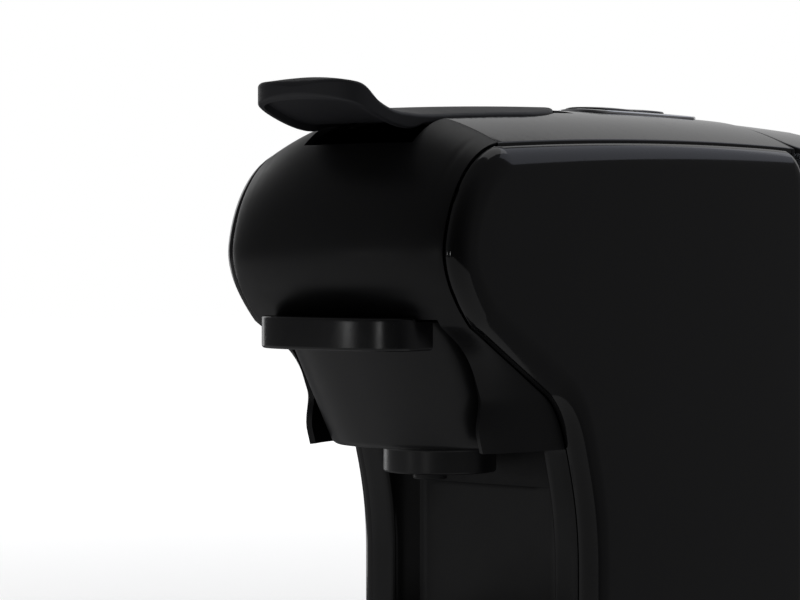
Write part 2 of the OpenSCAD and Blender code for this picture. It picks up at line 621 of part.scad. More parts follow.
// ---- control panel ----
bezel_up = 1.2;
module control_bezel() color([0.9, 0.9, 0.92]) difference() {
  intersection() {
    roof_skin(bezel_up, 0);
    zprism(200, 250) slot_y(ring_y[0], ring_y[1], 13.4);
  }
  zprism(200, 250) {
    slot_y(small_y[0] - 0.4, large_y[1] + 0.4, button_x + 0.4);
    translate([0, lamp_y]) circle(4.2);
  }
}
board_z = 222;
module button_cap(y, stem_y) {
  intersection() {
    roof_skin(2.3, 4);
    zprism(200, 250) button_plan(y, 0);
  }
  cyl([0, stem_y, board_z + 6.2], 2.4, 7);
}
small_stem = 31;
large_stem = 61;
module small_cup_button() color(black) button_cap(small_y, small_stem);
module large_cup_button() color(black) button_cap(large_y, large_stem);
module status_lens() color([0.9, 0.9, 0.9]) intersection() {
  roof_skin(bezel_up - 0.2, 3);
  cyl([0, lamp_y, 220], 4, 30);
}
module control_board() color([0.1, 0.35, 0.2]) {
  box([-18, 18, board_z - 1.6], [18, 94, board_z]);
  for (y = [small_stem, large_stem]) {
    box([-3, y - 3, board_z], [3, y + 3, board_z + 3.4]);
    cyl([0, y, board_z + 3.4], 1.7, 1.1);
  }
  cyl([0, lamp_y, board_z], 2.5, 7);
}
module button_spring(y) difference() {
  cyl([0, y, board_z + 0.1], 5.2, 11.9);
  cyl([0, y, board_z - 1], 4.4, 20);
}
module small_button_spring() color(steel) button_spring(small_stem);
module large_button_spring() color(steel) button_spring(large_stem);

// ---- water path: pump, meter, heater, hoses ----
pump_c = [-22, 22];
pump_low = 30;
pump_top = 96;
module pump_body() color([0.85, 0.82, 0.7]) difference() {
  union() {
    cyl([pump_c[0], pump_c[1], pump_low], 11, pump_top - pump_low);
    cyl([pump_c[0], pump_c[1], pump_low - 8], 4, 8);
    cyl([pump_c[0], pump_c[1], pump_top], 7, 8);
  }
  cyl([pump_c[0], pump_c[1], 38], 8.1, 52);
  cyl([pump_c[0], pump_c[1], 10], 2, 110);
}
module pump_coil() color([0.15, 0.25, 0.5]) difference() {
  translate([pump_c[0], pump_c[1], 40]) linear_extrude(40) rrect(38, 38, 3);
  cyl([pump_c[0], pump_c[1], 30], 11.02, 70);
}
module pump_mounts() color(black) for (z = [33, 83]) difference() {
  union() {
    cyl([pump_c[0], pump_c[1], z], 17, 4);
    box([-45.2, pump_c[1] - 6, z], [pump_c[0], pump_c[1] + 6, z + 4]);
  }
  cyl([pump_c[0], pump_c[1], z - 5], 11.02, 20);
}
module pump_plunger() color(steel) difference() {
  cyl([pump_c[0], pump_c[1], 46], 8, 26);
  cyl([pump_c[0], pump_c[1], 40], 2, 40);
}
module pump_spring() color(steel) difference() {
  cyl([pump_c[0], pump_c[1], 72.4], 7.6, 17.4);
  cyl([pump_c[0], pump_c[1], 70], 6.4, 22);
}
meter_c = [24, 64];
module flow_meter() color([0.9, 0.9, 0.85]) difference() {
  union() {
    cyl([meter_c[0], meter_c[1], base_z], 10, 10);
    cyl([meter_c[0], meter_c[1], 22], 15, 15);
    ycyl([meter_c[0] + 9, meter_c[1] + 8, 29.5], 3, 14);
    translate([meter_c[0] - 24, meter_c[1] - 9, 29.5]) rotate([0, 90, 0]) cylinder(h = 16, r = 3);
  }
  cyl([meter_c[0], meter_c[1], 25], 12.5, 9);
  ycyl([meter_c[0] + 9, meter_c[1] + 6, 29.5], 1.6, 20);
  translate([meter_c[0] - 26, meter_c[1] - 9, 29.5]) rotate([0, 90, 0]) cylinder(h = 22, r = 1.6);
}
module flow_rotor() color([0.2, 0.5, 0.8]) {
  cyl([meter_c[0], meter_c[1], 25.4], 3, 8.2);
  for (a = [0:60:300]) translate([meter_c[0], meter_c[1], 26]) rotate(a) box([0, -0.8, 0], [11.8, 0.8, 7]);
}
heater_z = [118, 140];
module thermoblock() color([0.75, 0.75, 0.77]) difference() {
  union() {
    translate([-2, 20, heater_z[0]]) linear_extrude(heater_z[1] - heater_z[0]) rrect(64, 84, 10);
    cyl([0, -10, heater_z[1]], 5, 6);
    cyl([pump_c[0], pump_c[1], heater_z[0] - 4], 3.4, 4);
    for (x = [-20, 16]) ycyl([x, 62, 129], 4, 12);
  }
  cyl([pump_c[0], pump_c[1], heater_z[0] - 8], 1.8, 18);
  cyl([0, -10, heater_z[1] - 8], 1.8, 20);
}
module thermostat() color([0.2, 0.2, 0.2]) {
  cyl([8, 34, heater_z[1]], 8, 7);
  cyl([8, 34, heater_z[1] + 7], 5, 3);
  for (x = [4, 11.2]) box([x, 33, heater_z[1] + 10], [x + 0.8, 37, heater_z[1] + 17]);
}
module thermal_fuse() color([0.9, 0.9, 0.9]) {
  translate([-8, 16, heater_z[1] + 2.5]) rotate([-90, 0, 0]) cylinder(h = 22, r = 2.4);
  box([-10, 14, heater_z[1]], [-6, 16, heater_z[1] + 6]);
  box([-10, 38, heater_z[1]], [-6, 40, heater_z[1] + 6]);
}
module power_board() color([0.15, 0.4, 0.25]) {
  box([40.4, -14, 112 - 20], [42, 80, 106]);
  box([40.4, -14, 106], [42, 80, 180]);
  for (y = [-8, 72], z = [98, 174]) translate([42, y, z]) rotate([0, 90, 0]) cylinder(h = 3.2, r = 2.5);
  box([26.4, 8, 140], [40.4, 34, 164]);
  box([30.4, 44, 142], [40.4, 60, 158]);
  translate([30, -2, 172]) rotate([0, 90, 0]) cylinder(h = 10.4, r = 6);
  box([32.4, 20, 98], [40.4, 40, 106]);
}

// Round hose of radius r along a list of hand-set points
function spline(p, n) = [for (i = [0:len(p) - 2]) each [for (k = [0:n - 1]) let (t = k / n,
  a = p[max(0, i - 1)], b = p[i], c = p[i + 1], d = p[min(len(p) - 1, i + 2)])
  0.5 * ((2 * b) + (c - a) * t + (2 * a - 5 * b + 4 * c - d) * t * t + (3 * b - a - 3 * c + d) * t * t * t)]];
function path_dir(q, i) = unit(q[min(len(q) - 1, i + 1)] - q[max(0, i - 1)]);
function frames(q, i = 0, up = [0, 0.31, 0.95]) = i >= len(q) ? [] :
  let (d = path_dir(q, i), u = unit(up - d * (up * d))) concat([[u, cross(d, u)]], frames(q, i + 1, u));
module hose(p, r) {
  q = concat(spline(p, 4), [p[len(p) - 1]]);
  f = frames(q);
  m = 10;
  n = len(q);
  polyhedron([for (i = [0:n - 1]) each [for (k = [0:m - 1])
    q[i] + r * (cos(360 * k / m) * f[i][0] + sin(360 * k / m) * f[i][1])]],
    concat([[for (k = [0:m - 1]) k]], [for (i = [0:n - 2]) each tri([for (k = [0:m - 1])
      [i * m + k, (i + 1) * m + k, (i + 1) * m + (k + 1) % m, i * m + (k + 1) % m]])],
      [[for (k = [m - 1:-1:0]) (n - 1) * m + k]]), convexity = 10);
}
tank_route = [[0, valve_y - 8.4, 7.2], [0, 125, 7.2], [1, 118, 7.2], [9, 106, 7.1], [22, 95, 7.1],
  [29.4, 91.8, 8.2], [32.6, 91, 15], [33, 90.6, 25], [33, 88.4, 29.3], [33, 86.2, 29.5]];
meter_route = [[-0.2, 55, 29.5], [-7, 54, 28.6], [-15, 46, 21], [-20, 34, 16.4], [-22, 25, 16.4],
  [-22, 22, 21.8]];
brew_route = [[0, -10, 146.1], [0, -10, 150], [4, -18, 161], [9, -32, 170], [13, -50, 175], [20, -66, 177.4],
  [23, -77, 177], [19, pod_y, 176.2], [15.2, pod_y, inlet_z]];
module supply_hoses() color([0.8, 0.8, 0.8]) {
  hose(tank_route, 2);
  hose(meter_route, 2.4);
}
module pump_hose() color([0.95, 0.95, 0.9])
  cyl([pump_c[0], pump_c[1], pump_top + 8.1], 3, heater_z[0] - pump_top - 12.2);
module brew_hose() color([0.95, 0.95, 0.9]) hose(brew_route, 2);

// ---- tank valve, tray float, fasteners ----
module tank_poppet() color([0.8, 0.2, 0.2]) {
  cyl([0, valve_y, tank_low - 1], 1.3, valve_top - tank_low + 1.1);
  cyl([0, valve_y, valve_top + 0.1], 4, 2);
  cyl([0, valve_y, 12.6], 2.4, 0.8);
}
module poppet_spring() color(steel) difference() {
  cyl([0, valve_y, 13.5], 2.9, 4.8);
  cyl([0, valve_y, 13], 2.3, 8);
}
module tray_float() color([0.85, 0.15, 0.1]) {
  cyl([0, float_y, tray_floor + 2.1], 7, 5);
  cyl([0, float_y, tray_floor + 7.1], 2.6, 9.6);
}
screw_places = [[-30, 98, 3], [30, 98, 3], [-40, 60, 3], [40, 60, 3], [-36, -60, 3], [36, -60, 3]];
module base_screws() color(steel) for (q = screw_places) cyl(q - [0, 0, 1.4], 2.6, 1.4);

// ---- choose what to draw ----
side_panel_right();
side_panel_left();
front_cover();
top_cover();
lever();
lever_pin();
crank_pin();
hinge_bracket();
brew_bridge();
guide_posts();
brew_housing();
press_carriage();
press_head();
press_seal();
inlet_needle();
press_inlet();
adapter_body();
adapter_grip();
capsule_cup();
outlet_sieve();
outlet_collar();
outlet_nozzle();
column_front();
inner_frame();
rear_cover();
cable_gland();
base_housing();
bottom_plate();
feet();
water_tank();
tank_outlet();
tank_seat();
tank_lid();
drip_tray();
drip_grid();
control_bezel();
small_cup_button();
large_cup_button();
status_lens();
control_board();
small_button_spring();
large_button_spring();
pump_body();
pump_coil();
pump_mounts();
pump_plunger();
pump_spring();
flow_meter();
flow_rotor();
thermoblock();
thermostat();
thermal_fuse();
power_board();
supply_hoses();
pump_hose();
brew_hose();
tank_poppet();
poppet_spring();
tray_float();
base_screws();
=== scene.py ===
import json
import math

import bpy
import numpy as np
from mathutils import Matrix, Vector
from mathutils.geometry import delaunay_2d_cdt


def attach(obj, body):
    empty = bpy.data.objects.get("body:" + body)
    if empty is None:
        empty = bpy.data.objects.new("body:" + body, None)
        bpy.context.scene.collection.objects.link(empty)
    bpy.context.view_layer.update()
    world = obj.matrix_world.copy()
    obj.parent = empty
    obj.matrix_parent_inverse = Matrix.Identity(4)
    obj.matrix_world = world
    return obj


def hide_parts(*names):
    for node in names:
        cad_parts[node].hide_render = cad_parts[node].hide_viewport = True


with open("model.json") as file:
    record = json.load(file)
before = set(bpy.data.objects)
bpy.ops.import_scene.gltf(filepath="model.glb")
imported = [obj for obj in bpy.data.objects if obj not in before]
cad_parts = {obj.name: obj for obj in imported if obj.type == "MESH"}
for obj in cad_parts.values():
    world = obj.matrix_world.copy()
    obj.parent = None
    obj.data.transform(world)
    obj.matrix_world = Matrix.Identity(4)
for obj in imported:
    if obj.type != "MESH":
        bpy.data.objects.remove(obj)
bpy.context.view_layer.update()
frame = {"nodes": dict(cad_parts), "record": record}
nodes = frame["nodes"]
slot_of = {p["node"]: p["material_slot"] for p in frame["record"]["subparts"]}

# ---------------------------------------------------------------- sizes, in millimetres
SEAM, GAP, WALL = 51.3, 0.3, 2.4
EDGE = SEAM - GAP
FACE_X = 59.0
ROOF_Z, ROOF_Y, LONG_R, CAMBER_R = 238.3, 40.0, 2500.0, 98.0
COVER_Y, REAR_Y, BASE_Z, FOOT_H = -104.8, 107.0, 12.0, 3.0
COL_Y, LOW_Z, BAY_X, HEAD_LOW = -53.3, 105.0, 42.4, 155.6
BULGE, FACE_Z, POD_Y, OUT_Y = 8.5, 183.0, -80.0, -74.0
SEAM_TOP, ROLL = 220.7, 10.6
LEVER_X, TIP_Y, TAIL_Y, NARROW_Y, NOSE_Y = 25.0, -10.5, -55.0, -140.0, -161.0
PIVOT_Y, PIVOT_Z, CRANK_R, CRANK_A = -18.0, 230.0, 7.6, math.radians(37.5)
NOTCH_X, NOTCH_Z = 26.4, 221.0
BTN_X, SMALL, LARGE, RING_X, RING = 10.4, (17, 45.4), (46.6, 75), 13.4, (13.6, 97)
LAMP_Y, LAMP_R = 88.0, 4.0
POD_TOP, POD_LOW, POD_W, POD_LEAN, CUP_R = 154.9, 105.6, 39.7, 30.6 / 49.3, 26.4
GRIP_W, GRIP_Y, GRIP_BACK = 36.0, -149.0, -124.2
LID_Y, LID_Z, TANK_X, TANK_Y0, TANK_Y1, CORNER = 159.2, 224.1, 49.0, 109.4, 161.0, 9.0
TRAY_LOW, TRAY_TOP, TRAY_WALL = 9.4, 27.0, 2.2
INLET_X, INLET_Z, VALVE_Y = -36.0, 24.0, 138.0
FEET = [(-34, -122), (34, -122), (-46, -20), (46, -20), (-46, 146), (46, 146)]

COLUMN = [[COL_Y, 60], [-53.6, 80], [-57.5, 92], [-61.5, LOW_Z]]
SEAMS = [
    [[-61.5, LOW_Z], [-64, 113], [-67.5, 121.3], [-75.6, 126.1]],
    [[-75.6, 126.1], [-90.9, 135], [-106.2, 143.8], [-121.5, 152.6]],
    [[-121.5, 152.6], [-132, 163], [-138.2, 173], [-137, FACE_Z]],
    [[-137, FACE_Z], [-134.5, 200], [-124, 217.2], [COVER_Y, 220.4]]]


def bez(k, t):
    """Points of a cubic curve with the four knots k."""
    k = np.asarray(k, float)
    t = np.asarray(t, float)[..., None]
    return k[0] * (1 - t) ** 3 + 3 * k[1] * t * (1 - t) ** 2 + 3 * k[2] * t * t * (1 - t) + k[3] * t ** 3


def roof(x, y):
    """Height of the crowned top cover."""
    return ROOF_Z - (y - ROOF_Y) ** 2 / (2 * LONG_R) - x * x / (2 * CAMBER_R)


def clamp(v, lo=0.0, hi=1.0):
    return max(lo, min(hi, v))


def inset(loop, d):
    """Moves a loop into the material on its left by d."""
    p = np.asarray(loop, float)
    a, b = p - np.roll(p, 1, 0), np.roll(p, -1, 0) - p
    a /= np.linalg.norm(a, axis=1)[:, None]
    b /= np.linalg.norm(b, axis=1)[:, None]
    na, nb = np.c_[-a[:, 1], a[:, 0]], np.c_[-b[:, 1], b[:, 0]]
    return p + d * (na + nb) / np.maximum(1 + (na * nb).sum(1), 0.4)[:, None]


def turned(loop, ccw=True):
    p = np.asarray(loop, float)
    q = np.roll(p, -1, 0)
    area = (p[:, 0] * q[:, 1] - q[:, 0] * p[:, 1]).sum()
    return p if (area > 0) == ccw else p[::-1].copy()


def inside(loop, pts):
    """Which points lie inside a loop."""
    out = np.zeros(len(pts), bool)
    x, y = pts[:, 0], pts[:, 1]
    for a, b in zip(loop, np.roll(loop, -1, 0)):
        hit = (a[1] > y) != (b[1] > y)
        if hit.any():
            out ^= hit & (x < (b[0] - a[0]) * (y - a[1]) / (b[1] - a[1] + 1e-12) + a[0])
    return out


def arc(cx, cy, r, a0, a1, n):
    a = np.radians(np.linspace(a0, a1, n + 1))
    return np.c_[cx + r * np.cos(a), cy + r * np.sin(a)]


def circle(cx, cy, r, n=48):
    return arc(cx, cy, r, 0, 360, n)[:-1]


def rounded_box(x0, y0, x1, y1, r, n=8):
    return np.vstack([arc(x1 - r, y0 + r, r, -90, 0, n), arc(x1 - r, y1 - r, r, 0, 90, n),
                      arc(x0 + r, y1 - r, r, 90, 180, n), arc(x0 + r, y0 + r, r, 180, 270, n)])


def dense(loop, step):
    """Adds points along the long edges of a loop."""
    out = []
    for a, b in zip(loop, np.roll(loop, -1, 0)):
        n = max(1, int(math.ceil(np.linalg.norm(b - a) / step)))
        out += [a + (b - a) * k / n for k in range(n)]
    return np.array(out)


def edge(r, n=3):
    """Quarter-round edge: [inset, drop] from the wall to the face."""
    turn = [math.pi / 2 * k / n for k in range(n + 1)]
    return [(r * (1 - math.cos(a)), r * (1 - math.sin(a))) for a in turn]


class Shape:
    """Collects points (a, b, height) and faces."""

    def __init__(self):
        self.v, self.f = [], []

    def ring(self, loop, h):
        """Adds a loop at height h, a number or a function of its place."""
        i = len(self.v)
        for p in loop:
            self.v.append((p[0], p[1], h(p[0], p[1]) if callable(h) else h))
        return list(range(i, len(self.v)))

    def points(self, pts):
        i = len(self.v)
        self.v += [tuple(p) for p in pts]
        return list(range(i, len(self.v)))

    def bridge(self, a, b, closed=True):
        """Joins two rings of as many points with a band of faces."""
        n = len(a)
        for k in range(n if closed else n - 1):
            j = (k + 1) % n
            self.f.append((a[k], a[j], b[j], b[k]))

    def add(self, other, put):
        """Takes in another shape, each point moved by put."""
        i = len(self.v)
        self.v += [put(*p) for p in other.v]
        self.f += [tuple(i + k for k in f) for f in other.f]

    def cap(self, loops, h, step, flip=False):
        """Fills the first loop, less the others, with triangles at height h."""
        ids = [i for l in loops for i in l]
        polys = [np.array([self.v[i][:2] for i in l]) for l in loops]
        edges, k = [], 0
        for l in loops:
            edges += [(k + j, k + (j + 1) % len(l)) for j in range(len(l))]
            k += len(l)
        lo, hi = polys[0].min(0), polys[0].max(0)
        gx = np.arange(lo[0] + step / 2, hi[0], step)
        gy = np.arange(lo[1] + step / 2, hi[1], step)
        if len(gx) and len(gy):
            g = np.array([(x + (step / 2 if j % 2 else 0), y) for j, y in enumerate(gy) for x in gx])
            keep = inside(polys[0], g)
            for q in polys[1:]:
                keep &= ~inside(q, g)
            g = g[keep]
            rim = np.vstack(polys)
            if len(g):
                near = np.array([((rim - q) ** 2).sum(1).min() for q in g])
                g = g[near > (0.55 * step) ** 2]
        else:
            g = np.zeros((0, 2))
        pts = [Vector(self.v[i][:2]) for i in ids] + [Vector(q) for q in g]
        vs, _, tris, orig, _, _ = delaunay_2d_cdt(pts, edges, [], 0, 1e-6)
        where = {}
        for i, o in enumerate(orig):
            if o and o[0] < len(ids):
                where[i] = ids[o[0]]
        cen = np.array([[sum(vs[i][c] for i in t) / 3 for c in (0, 1)] for t in tris])
        good = inside(polys[0], cen)
        for q in polys[1:]:
            good &= ~inside(q, cen)
        for t, ok in zip(tris, good):
            if not ok:
                continue
            out = []
            for i in t:
                if i not in where:
                    x, y = vs[i]
                    where[i] = len(self.v)
                    self.v.append((x, y, h(x, y) if callable(h) else h))
                out.append(where[i])
            self.f.append(tuple(out[::-1]) if flip else tuple(out))


def plate(outer, holes, top, low, top_edge=None, low_edge=None, step=4.0, shape=None):
    """A slab between two height surfaces, with rounded edges all round and in its holes."""
    s = shape or Shape()
    top_edge, low_edge = top_edge or edge(0.4), low_edge or edge(0.3, 2)
    loops = [turned(outer)] + [turned(h, False) for h in holes]
    tops, lows = [], []
    up = top if callable(top) else (lambda x, y: top)
    dn = low if callable(low) else (lambda x, y: low)
    for l in loops:
        t = [s.ring(inset(l, d), lambda x, y, z=z: up(x, y) - z) for d, z in top_edge]
        b = [s.ring(inset(l, d), lambda x, y, z=z: dn(x, y) + z) for d, z in low_edge]
        s.bridge(b[0], t[0])
        for p, q in zip(t, t[1:]):
            s.bridge(p, q)
        for p, q in zip(b, b[1:]):
            s.bridge(q, p)
        tops.append(t[-1])
        lows.append(b[-1])
    s.cap(tops, lambda x, y: up(x, y) - top_edge[-1][1], step)
    s.cap(lows, lambda x, y: dn(x, y) + low_edge[-1][1], step, flip=True)
    return s


def lathe(profile, cx=0.0, cy=0.0, n=64, shape=None):
    """Turns [radius, height] points round a vertical axis. The list starts and ends on the axis."""
    s = shape or Shape()
    rings = []
    for r, z in profile:
        if r < 1e-6:
            rings.append(s.points([(cx, cy, z)]))
        else:
            rings.append(s.ring(circle(cx, cy, r, n), z))
    for a, b in zip(rings, rings[1:]):
        if len(a) == 1 and len(b) > 1:
            s.f += [(a[0], b[(k + 1) % n], b[k]) for k in range(n)]
        elif len(b) == 1 and len(a) > 1:
            s.f += [(b[0], a[k], a[(k + 1) % n]) for k in range(n)]
        elif len(a) > 1:
            s.bridge(a, b)
    return s


def soften(profile, r, n=3):
    """Rounds the corners of a [radius, height] profile."""
    p = [np.array(q, float) for q in profile]
    out = [p[0]]
    for a, b, c in zip(p, p[1:], p[2:]):
        u, v = a - b, c - b
        lu, lv = np.linalg.norm(u), np.linalg.norm(v)
        d = min(r, lu * 0.45, lv * 0.45)
        if d < 0.02:
            out.append(b)
            continue
        s, e = b + u / lu * d, b + v / lv * d
        out += [s * (1 - t) ** 2 + 2 * b * t * (1 - t) + e * t * t for t in np.linspace(0, 1, n + 1)]
    out.append(p[-1])
    return out


def piece(name, shape, body, slot, replaces=(), put=None, sharp=38, weld=True):
    """Makes a Blender object in metres from a Shape."""
    co = shape.v if put is None else [put(*p) for p in shape.v]
    me = bpy.data.meshes.new(name)
    me.from_pydata([(x / 1000, y / 1000, z / 1000) for x, y, z in co], [], shape.f)
    me.validate()
    me.polygons.foreach_set("use_smooth", [True] * len(me.polygons))
    me.set_sharp_from_angle(angle=math.radians(sharp))
    ob = bpy.data.objects.new(name, me)
    bpy.context.scene.collection.objects.link(ob)
    me.materials.append(MATS[slot])
    if weld:
        w = ob.modifiers.new("even_normals", "WEIGHTED_NORMAL")
        w.keep_sharp = True
        w.weight = 80
    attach(ob, body)
    if replaces:
        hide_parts(*replaces)
    return ob


# ---------------------------------------------------------------- materials
class Mat:
    """A node material on one Principled shader, worked in object space."""

    def __init__(self, name):
        self.m = bpy.data.materials.new(name)
        self.m.use_nodes = True
        self.t = self.m.node_tree
        self.p = next(n for n in self.t.nodes if n.type == "BSDF_PRINCIPLED")
        self.co = self.t.nodes.new("ShaderNodeTexCoord").outputs["Object"]

    def link(self, a, b):
        self.t.links.new(a, b)

    def noise(self, scale, detail=3.0, stretch=(1, 1, 1), rough=0.55):
        m = self.t.nodes.new("ShaderNodeMapping")
        m.inputs["Scale"].default_value = stretch
        n = self.t.nodes.new("ShaderNodeTexNoise")
        n.inputs["Scale"].default_value = scale
        n.inputs["Detail"].default_value = detail
        n.inputs["Roughness"].default_value = rough
        self.link(self.co, m.inputs["Vector"])
        self.link(m.outputs[0], n.inputs["Vector"])
        return n.outputs["Fac"]

    def remap(self, fac, a, b, lo, hi):
        n = self.t.nodes.new("ShaderNodeMapRange")
        for i, v in zip(range(1, 5), (a, b, lo, hi)):
            n.inputs[i].default_value = v
        self.link(fac, n.inputs[0])
        return n.outputs[0]

    def math(self, op, a, b):
        n = self.t.nodes.new("ShaderNodeMath")
        n.operation = op
        for i, v in enumerate((a, b)):
            if isinstance(v, (int, float)):
                n.inputs[i].default_value = v
            else:
                self.link(v, n.inputs[i])
        return n.outputs[0]

    def mix(self, fac, c1, c2):
        n = self.t.nodes.new("ShaderNodeMix")
        n.data_type = "RGBA"
        self.link(fac, n.inputs["Factor"])
        for s, c in ((n.inputs[6], c1), (n.inputs[7], c2)):
            if isinstance(c, (tuple, list)):
                s.default_value = (*c, 1)
            else:
                self.link(c, s)
        return n.outputs[2]

    def bump(self, height, strength, mm, under=None):
        n = self.t.nodes.new("ShaderNodeBump")
        n.inputs["Strength"].default_value = strength
        n.inputs["Distance"].default_value = mm / 1000
        self.link(height, n.inputs["Height"])
        if under is not None:
            self.link(under, n.inputs["Normal"])
        return n.outputs[0]

    def edges(self, lo=0.52, hi=0.6):
        g = self.t.nodes.new("ShaderNodeNewGeometry")
        return self.remap(g.outputs["Pointiness"], lo, hi, 0, 1)

    def fixed(self, **values):
        for k, v in values.items():
            s = self.p.inputs[k.replace("_", " ")]
            s.default_value = (*v, 1) if isinstance(v, tuple) and len(v) == 3 else v


FINE = (2600, 0.25, 0.02)
DUST_TONE = (0.35, 0.34, 0.33)


def surface(name, c1, c2, rough, grain=FINE, worn=None, dust=0.0, lines=None, blotch=22, **fixed):
    """A finish that drifts between the tones c1 and c2 and through the roughness range.

    grain is a fine bump (scale, strength, mm) and lines a drawn-out one (stretch, strength). worn is the tone
    of rubbed edges, dust the strength of pale specks, and fixed sets sockets of the shader.
    """
    m = Mat(name)
    big = m.noise(blotch, 4)
    tone = m.mix(m.remap(big, 0.35, 0.65, 0, 1), c1, c2)
    fine = m.noise(blotch * 9, 3)
    r = m.math("ADD", m.remap(big, 0.35, 0.65, rough[0], rough[1]), m.remap(fine, 0.3, 0.7, -0.02, 0.02))
    n = m.bump(m.noise(grain[0], 2), grain[1], grain[2])
    if lines:
        hair = m.noise(1.0, 4, lines[0], 0.7)
        n = m.bump(hair, lines[1], 0.02, n)
        r = m.math("ADD", r, m.remap(hair, 0.3, 0.7, -0.04, 0.05))
    if dust:
        speck = m.remap(m.noise(1900, 1), 0.72, 0.78, 0, dust)
        tone = m.mix(speck, tone, DUST_TONE)
        r = m.math("ADD", r, speck)
    if worn:
        e = m.math("MULTIPLY", m.edges(), m.remap(m.noise(160, 4), 0.35, 0.6, 0.15, 0.7))
        tone = m.mix(e, tone, worn)
        r = m.math("ADD", r, m.math("MULTIPLY", e, 0.1))
    m.link(tone, m.p.inputs["Base Color"])
    m.link(r, m.p.inputs["Roughness"])
    m.link(n, m.p.inputs["Normal"])
    m.fixed(**fixed)
    return m.m


MATS = {
    "gloss_black": surface("gloss_black", (0.0045, 0.0045, 0.005), (0.006, 0.006, 0.0066), (0.07, 0.12),
                           grain=(700, 0.05, 0.01), dust=0.05, lines=((60, 900, 900), 0.02), IOR=1.5),
    "satin_black": surface("satin_black", (0.006, 0.006, 0.0066), (0.008, 0.008, 0.0088), (0.37, 0.43),
                           grain=(2600, 0.3, 0.02), worn=(0.02, 0.02, 0.022), dust=0.05, IOR=1.44),
    "lever_black": surface("lever_black", (0.033, 0.0335, 0.038), (0.04, 0.0405, 0.046), (0.5, 0.57),
                           grain=(2200, 0.35, 0.03), worn=(0.03, 0.03, 0.035), dust=0.04, IOR=1.5),
    "adapter_black": surface("adapter_black", (0.014, 0.014, 0.0148), (0.018, 0.018, 0.019), (0.3, 0.37),
                             grain=(2400, 0.3, 0.025), worn=(0.03, 0.03, 0.032), dust=0.05, IOR=1.5),
    "column_black": surface("column_black", (0.006, 0.006, 0.0065), (0.008, 0.008, 0.0086), (0.3, 0.38),
                            grain=(1800, 0.3, 0.03), worn=(0.02, 0.02, 0.02), dust=0.05, IOR=1.48),
    "grip_black": surface("grip_black", (0.01, 0.01, 0.0108), (0.013, 0.013, 0.014), (0.17, 0.23),
                          grain=(2400, 0.25, 0.02), worn=(0.03, 0.03, 0.032), dust=0.05, IOR=1.52),
    "coil_blue": surface("coil_blue", (0.01, 0.03, 0.12), (0.015, 0.045, 0.16), (0.35, 0.45),
                         grain=(700, 0.3, 0.03), lines=((40, 40, 1600), 0.5), dust=0.06),
    "matte_black": surface("matte_black", (0.014, 0.014, 0.015), (0.02, 0.02, 0.021), (0.5, 0.62),
                           grain=(1500, 0.5, 0.05), worn=(0.05, 0.05, 0.05), dust=0.1),
    "steel": surface("steel", (0.52, 0.52, 0.53), (0.6, 0.6, 0.6), (0.22, 0.32), grain=(1200, 0.1, 0.01),
                     lines=((2500, 30, 2500), 0.12), Metallic=1.0),
    "chrome": surface("chrome", (0.78, 0.78, 0.79), (0.84, 0.84, 0.85), (0.05, 0.1), grain=(500, 0.04, 0.01),
                      dust=0.04, Metallic=1.0),
    "aluminium": surface("aluminium", (0.5, 0.5, 0.51), (0.6, 0.6, 0.6), (0.36, 0.5), grain=(900, 0.5, 0.06),
                         worn=(0.8, 0.8, 0.8), Metallic=1.0),
    "brass": surface("brass", (0.62, 0.42, 0.16), (0.72, 0.52, 0.22), (0.22, 0.34),
                     lines=((900, 900, 40), 0.1), Metallic=1.0),
    "rubber": surface("rubber", (0.012, 0.012, 0.012), (0.02, 0.02, 0.02), (0.62, 0.8),
                      grain=(1100, 0.6, 0.06), dust=0.15),
    "silicone": surface("silicone", (0.5, 0.5, 0.47), (0.62, 0.61, 0.57), (0.3, 0.42), grain=(900, 0.2, 0.03),
                        Transmission_Weight=0.25),
    "tank_clear": surface("tank_clear", (0.12, 0.125, 0.135), (0.15, 0.155, 0.165), (0.05, 0.1),
                          grain=(300, 0.08, 0.03), dust=0.04, Transmission_Weight=0.9, IOR=1.45),
    "board_green": surface("board_green", (0.01, 0.09, 0.03), (0.015, 0.13, 0.045), (0.3, 0.4), blotch=90,
                           grain=(700, 0.4, 0.04), lines=((500, 60, 500), 0.3)),
    "pale_plastic": surface("pale_plastic", (0.5, 0.47, 0.39), (0.6, 0.57, 0.48), (0.38, 0.5), dust=0.06),
    "red_plastic": surface("red_plastic", (0.42, 0.02, 0.015), (0.5, 0.03, 0.02), (0.34, 0.44), dust=0.06),
    "lens_white": surface("lens_white", (0.62, 0.64, 0.66), (0.7, 0.72, 0.74), (0.12, 0.2),
                          Transmission_Weight=0.3),
}

# ---------------------------------------------------------------- side panels
def seam_line(n):
    """The head and column edge from low to high."""
    t = np.linspace(0, 1, n, endpoint=False)
    return np.vstack([bez(COLUMN, t)] + [bez(k, t) for k in SEAMS])


def panel_loop():
    """Outline of a side panel, seen from its side."""
    ys = np.linspace(COVER_Y, 90, 40)
    top = np.c_[ys, roof(SEAM, ys) - 1]
    p = np.vstack([[[COL_Y, BASE_Z + GAP], [COL_Y, 36]], seam_line(14), top[:-1],
                   arc(REAR_Y - 15, 208.5, 15, 78, 0, 14), [[REAR_Y, BASE_Z + GAP]]])
    return dense(turned(p), 9.0)


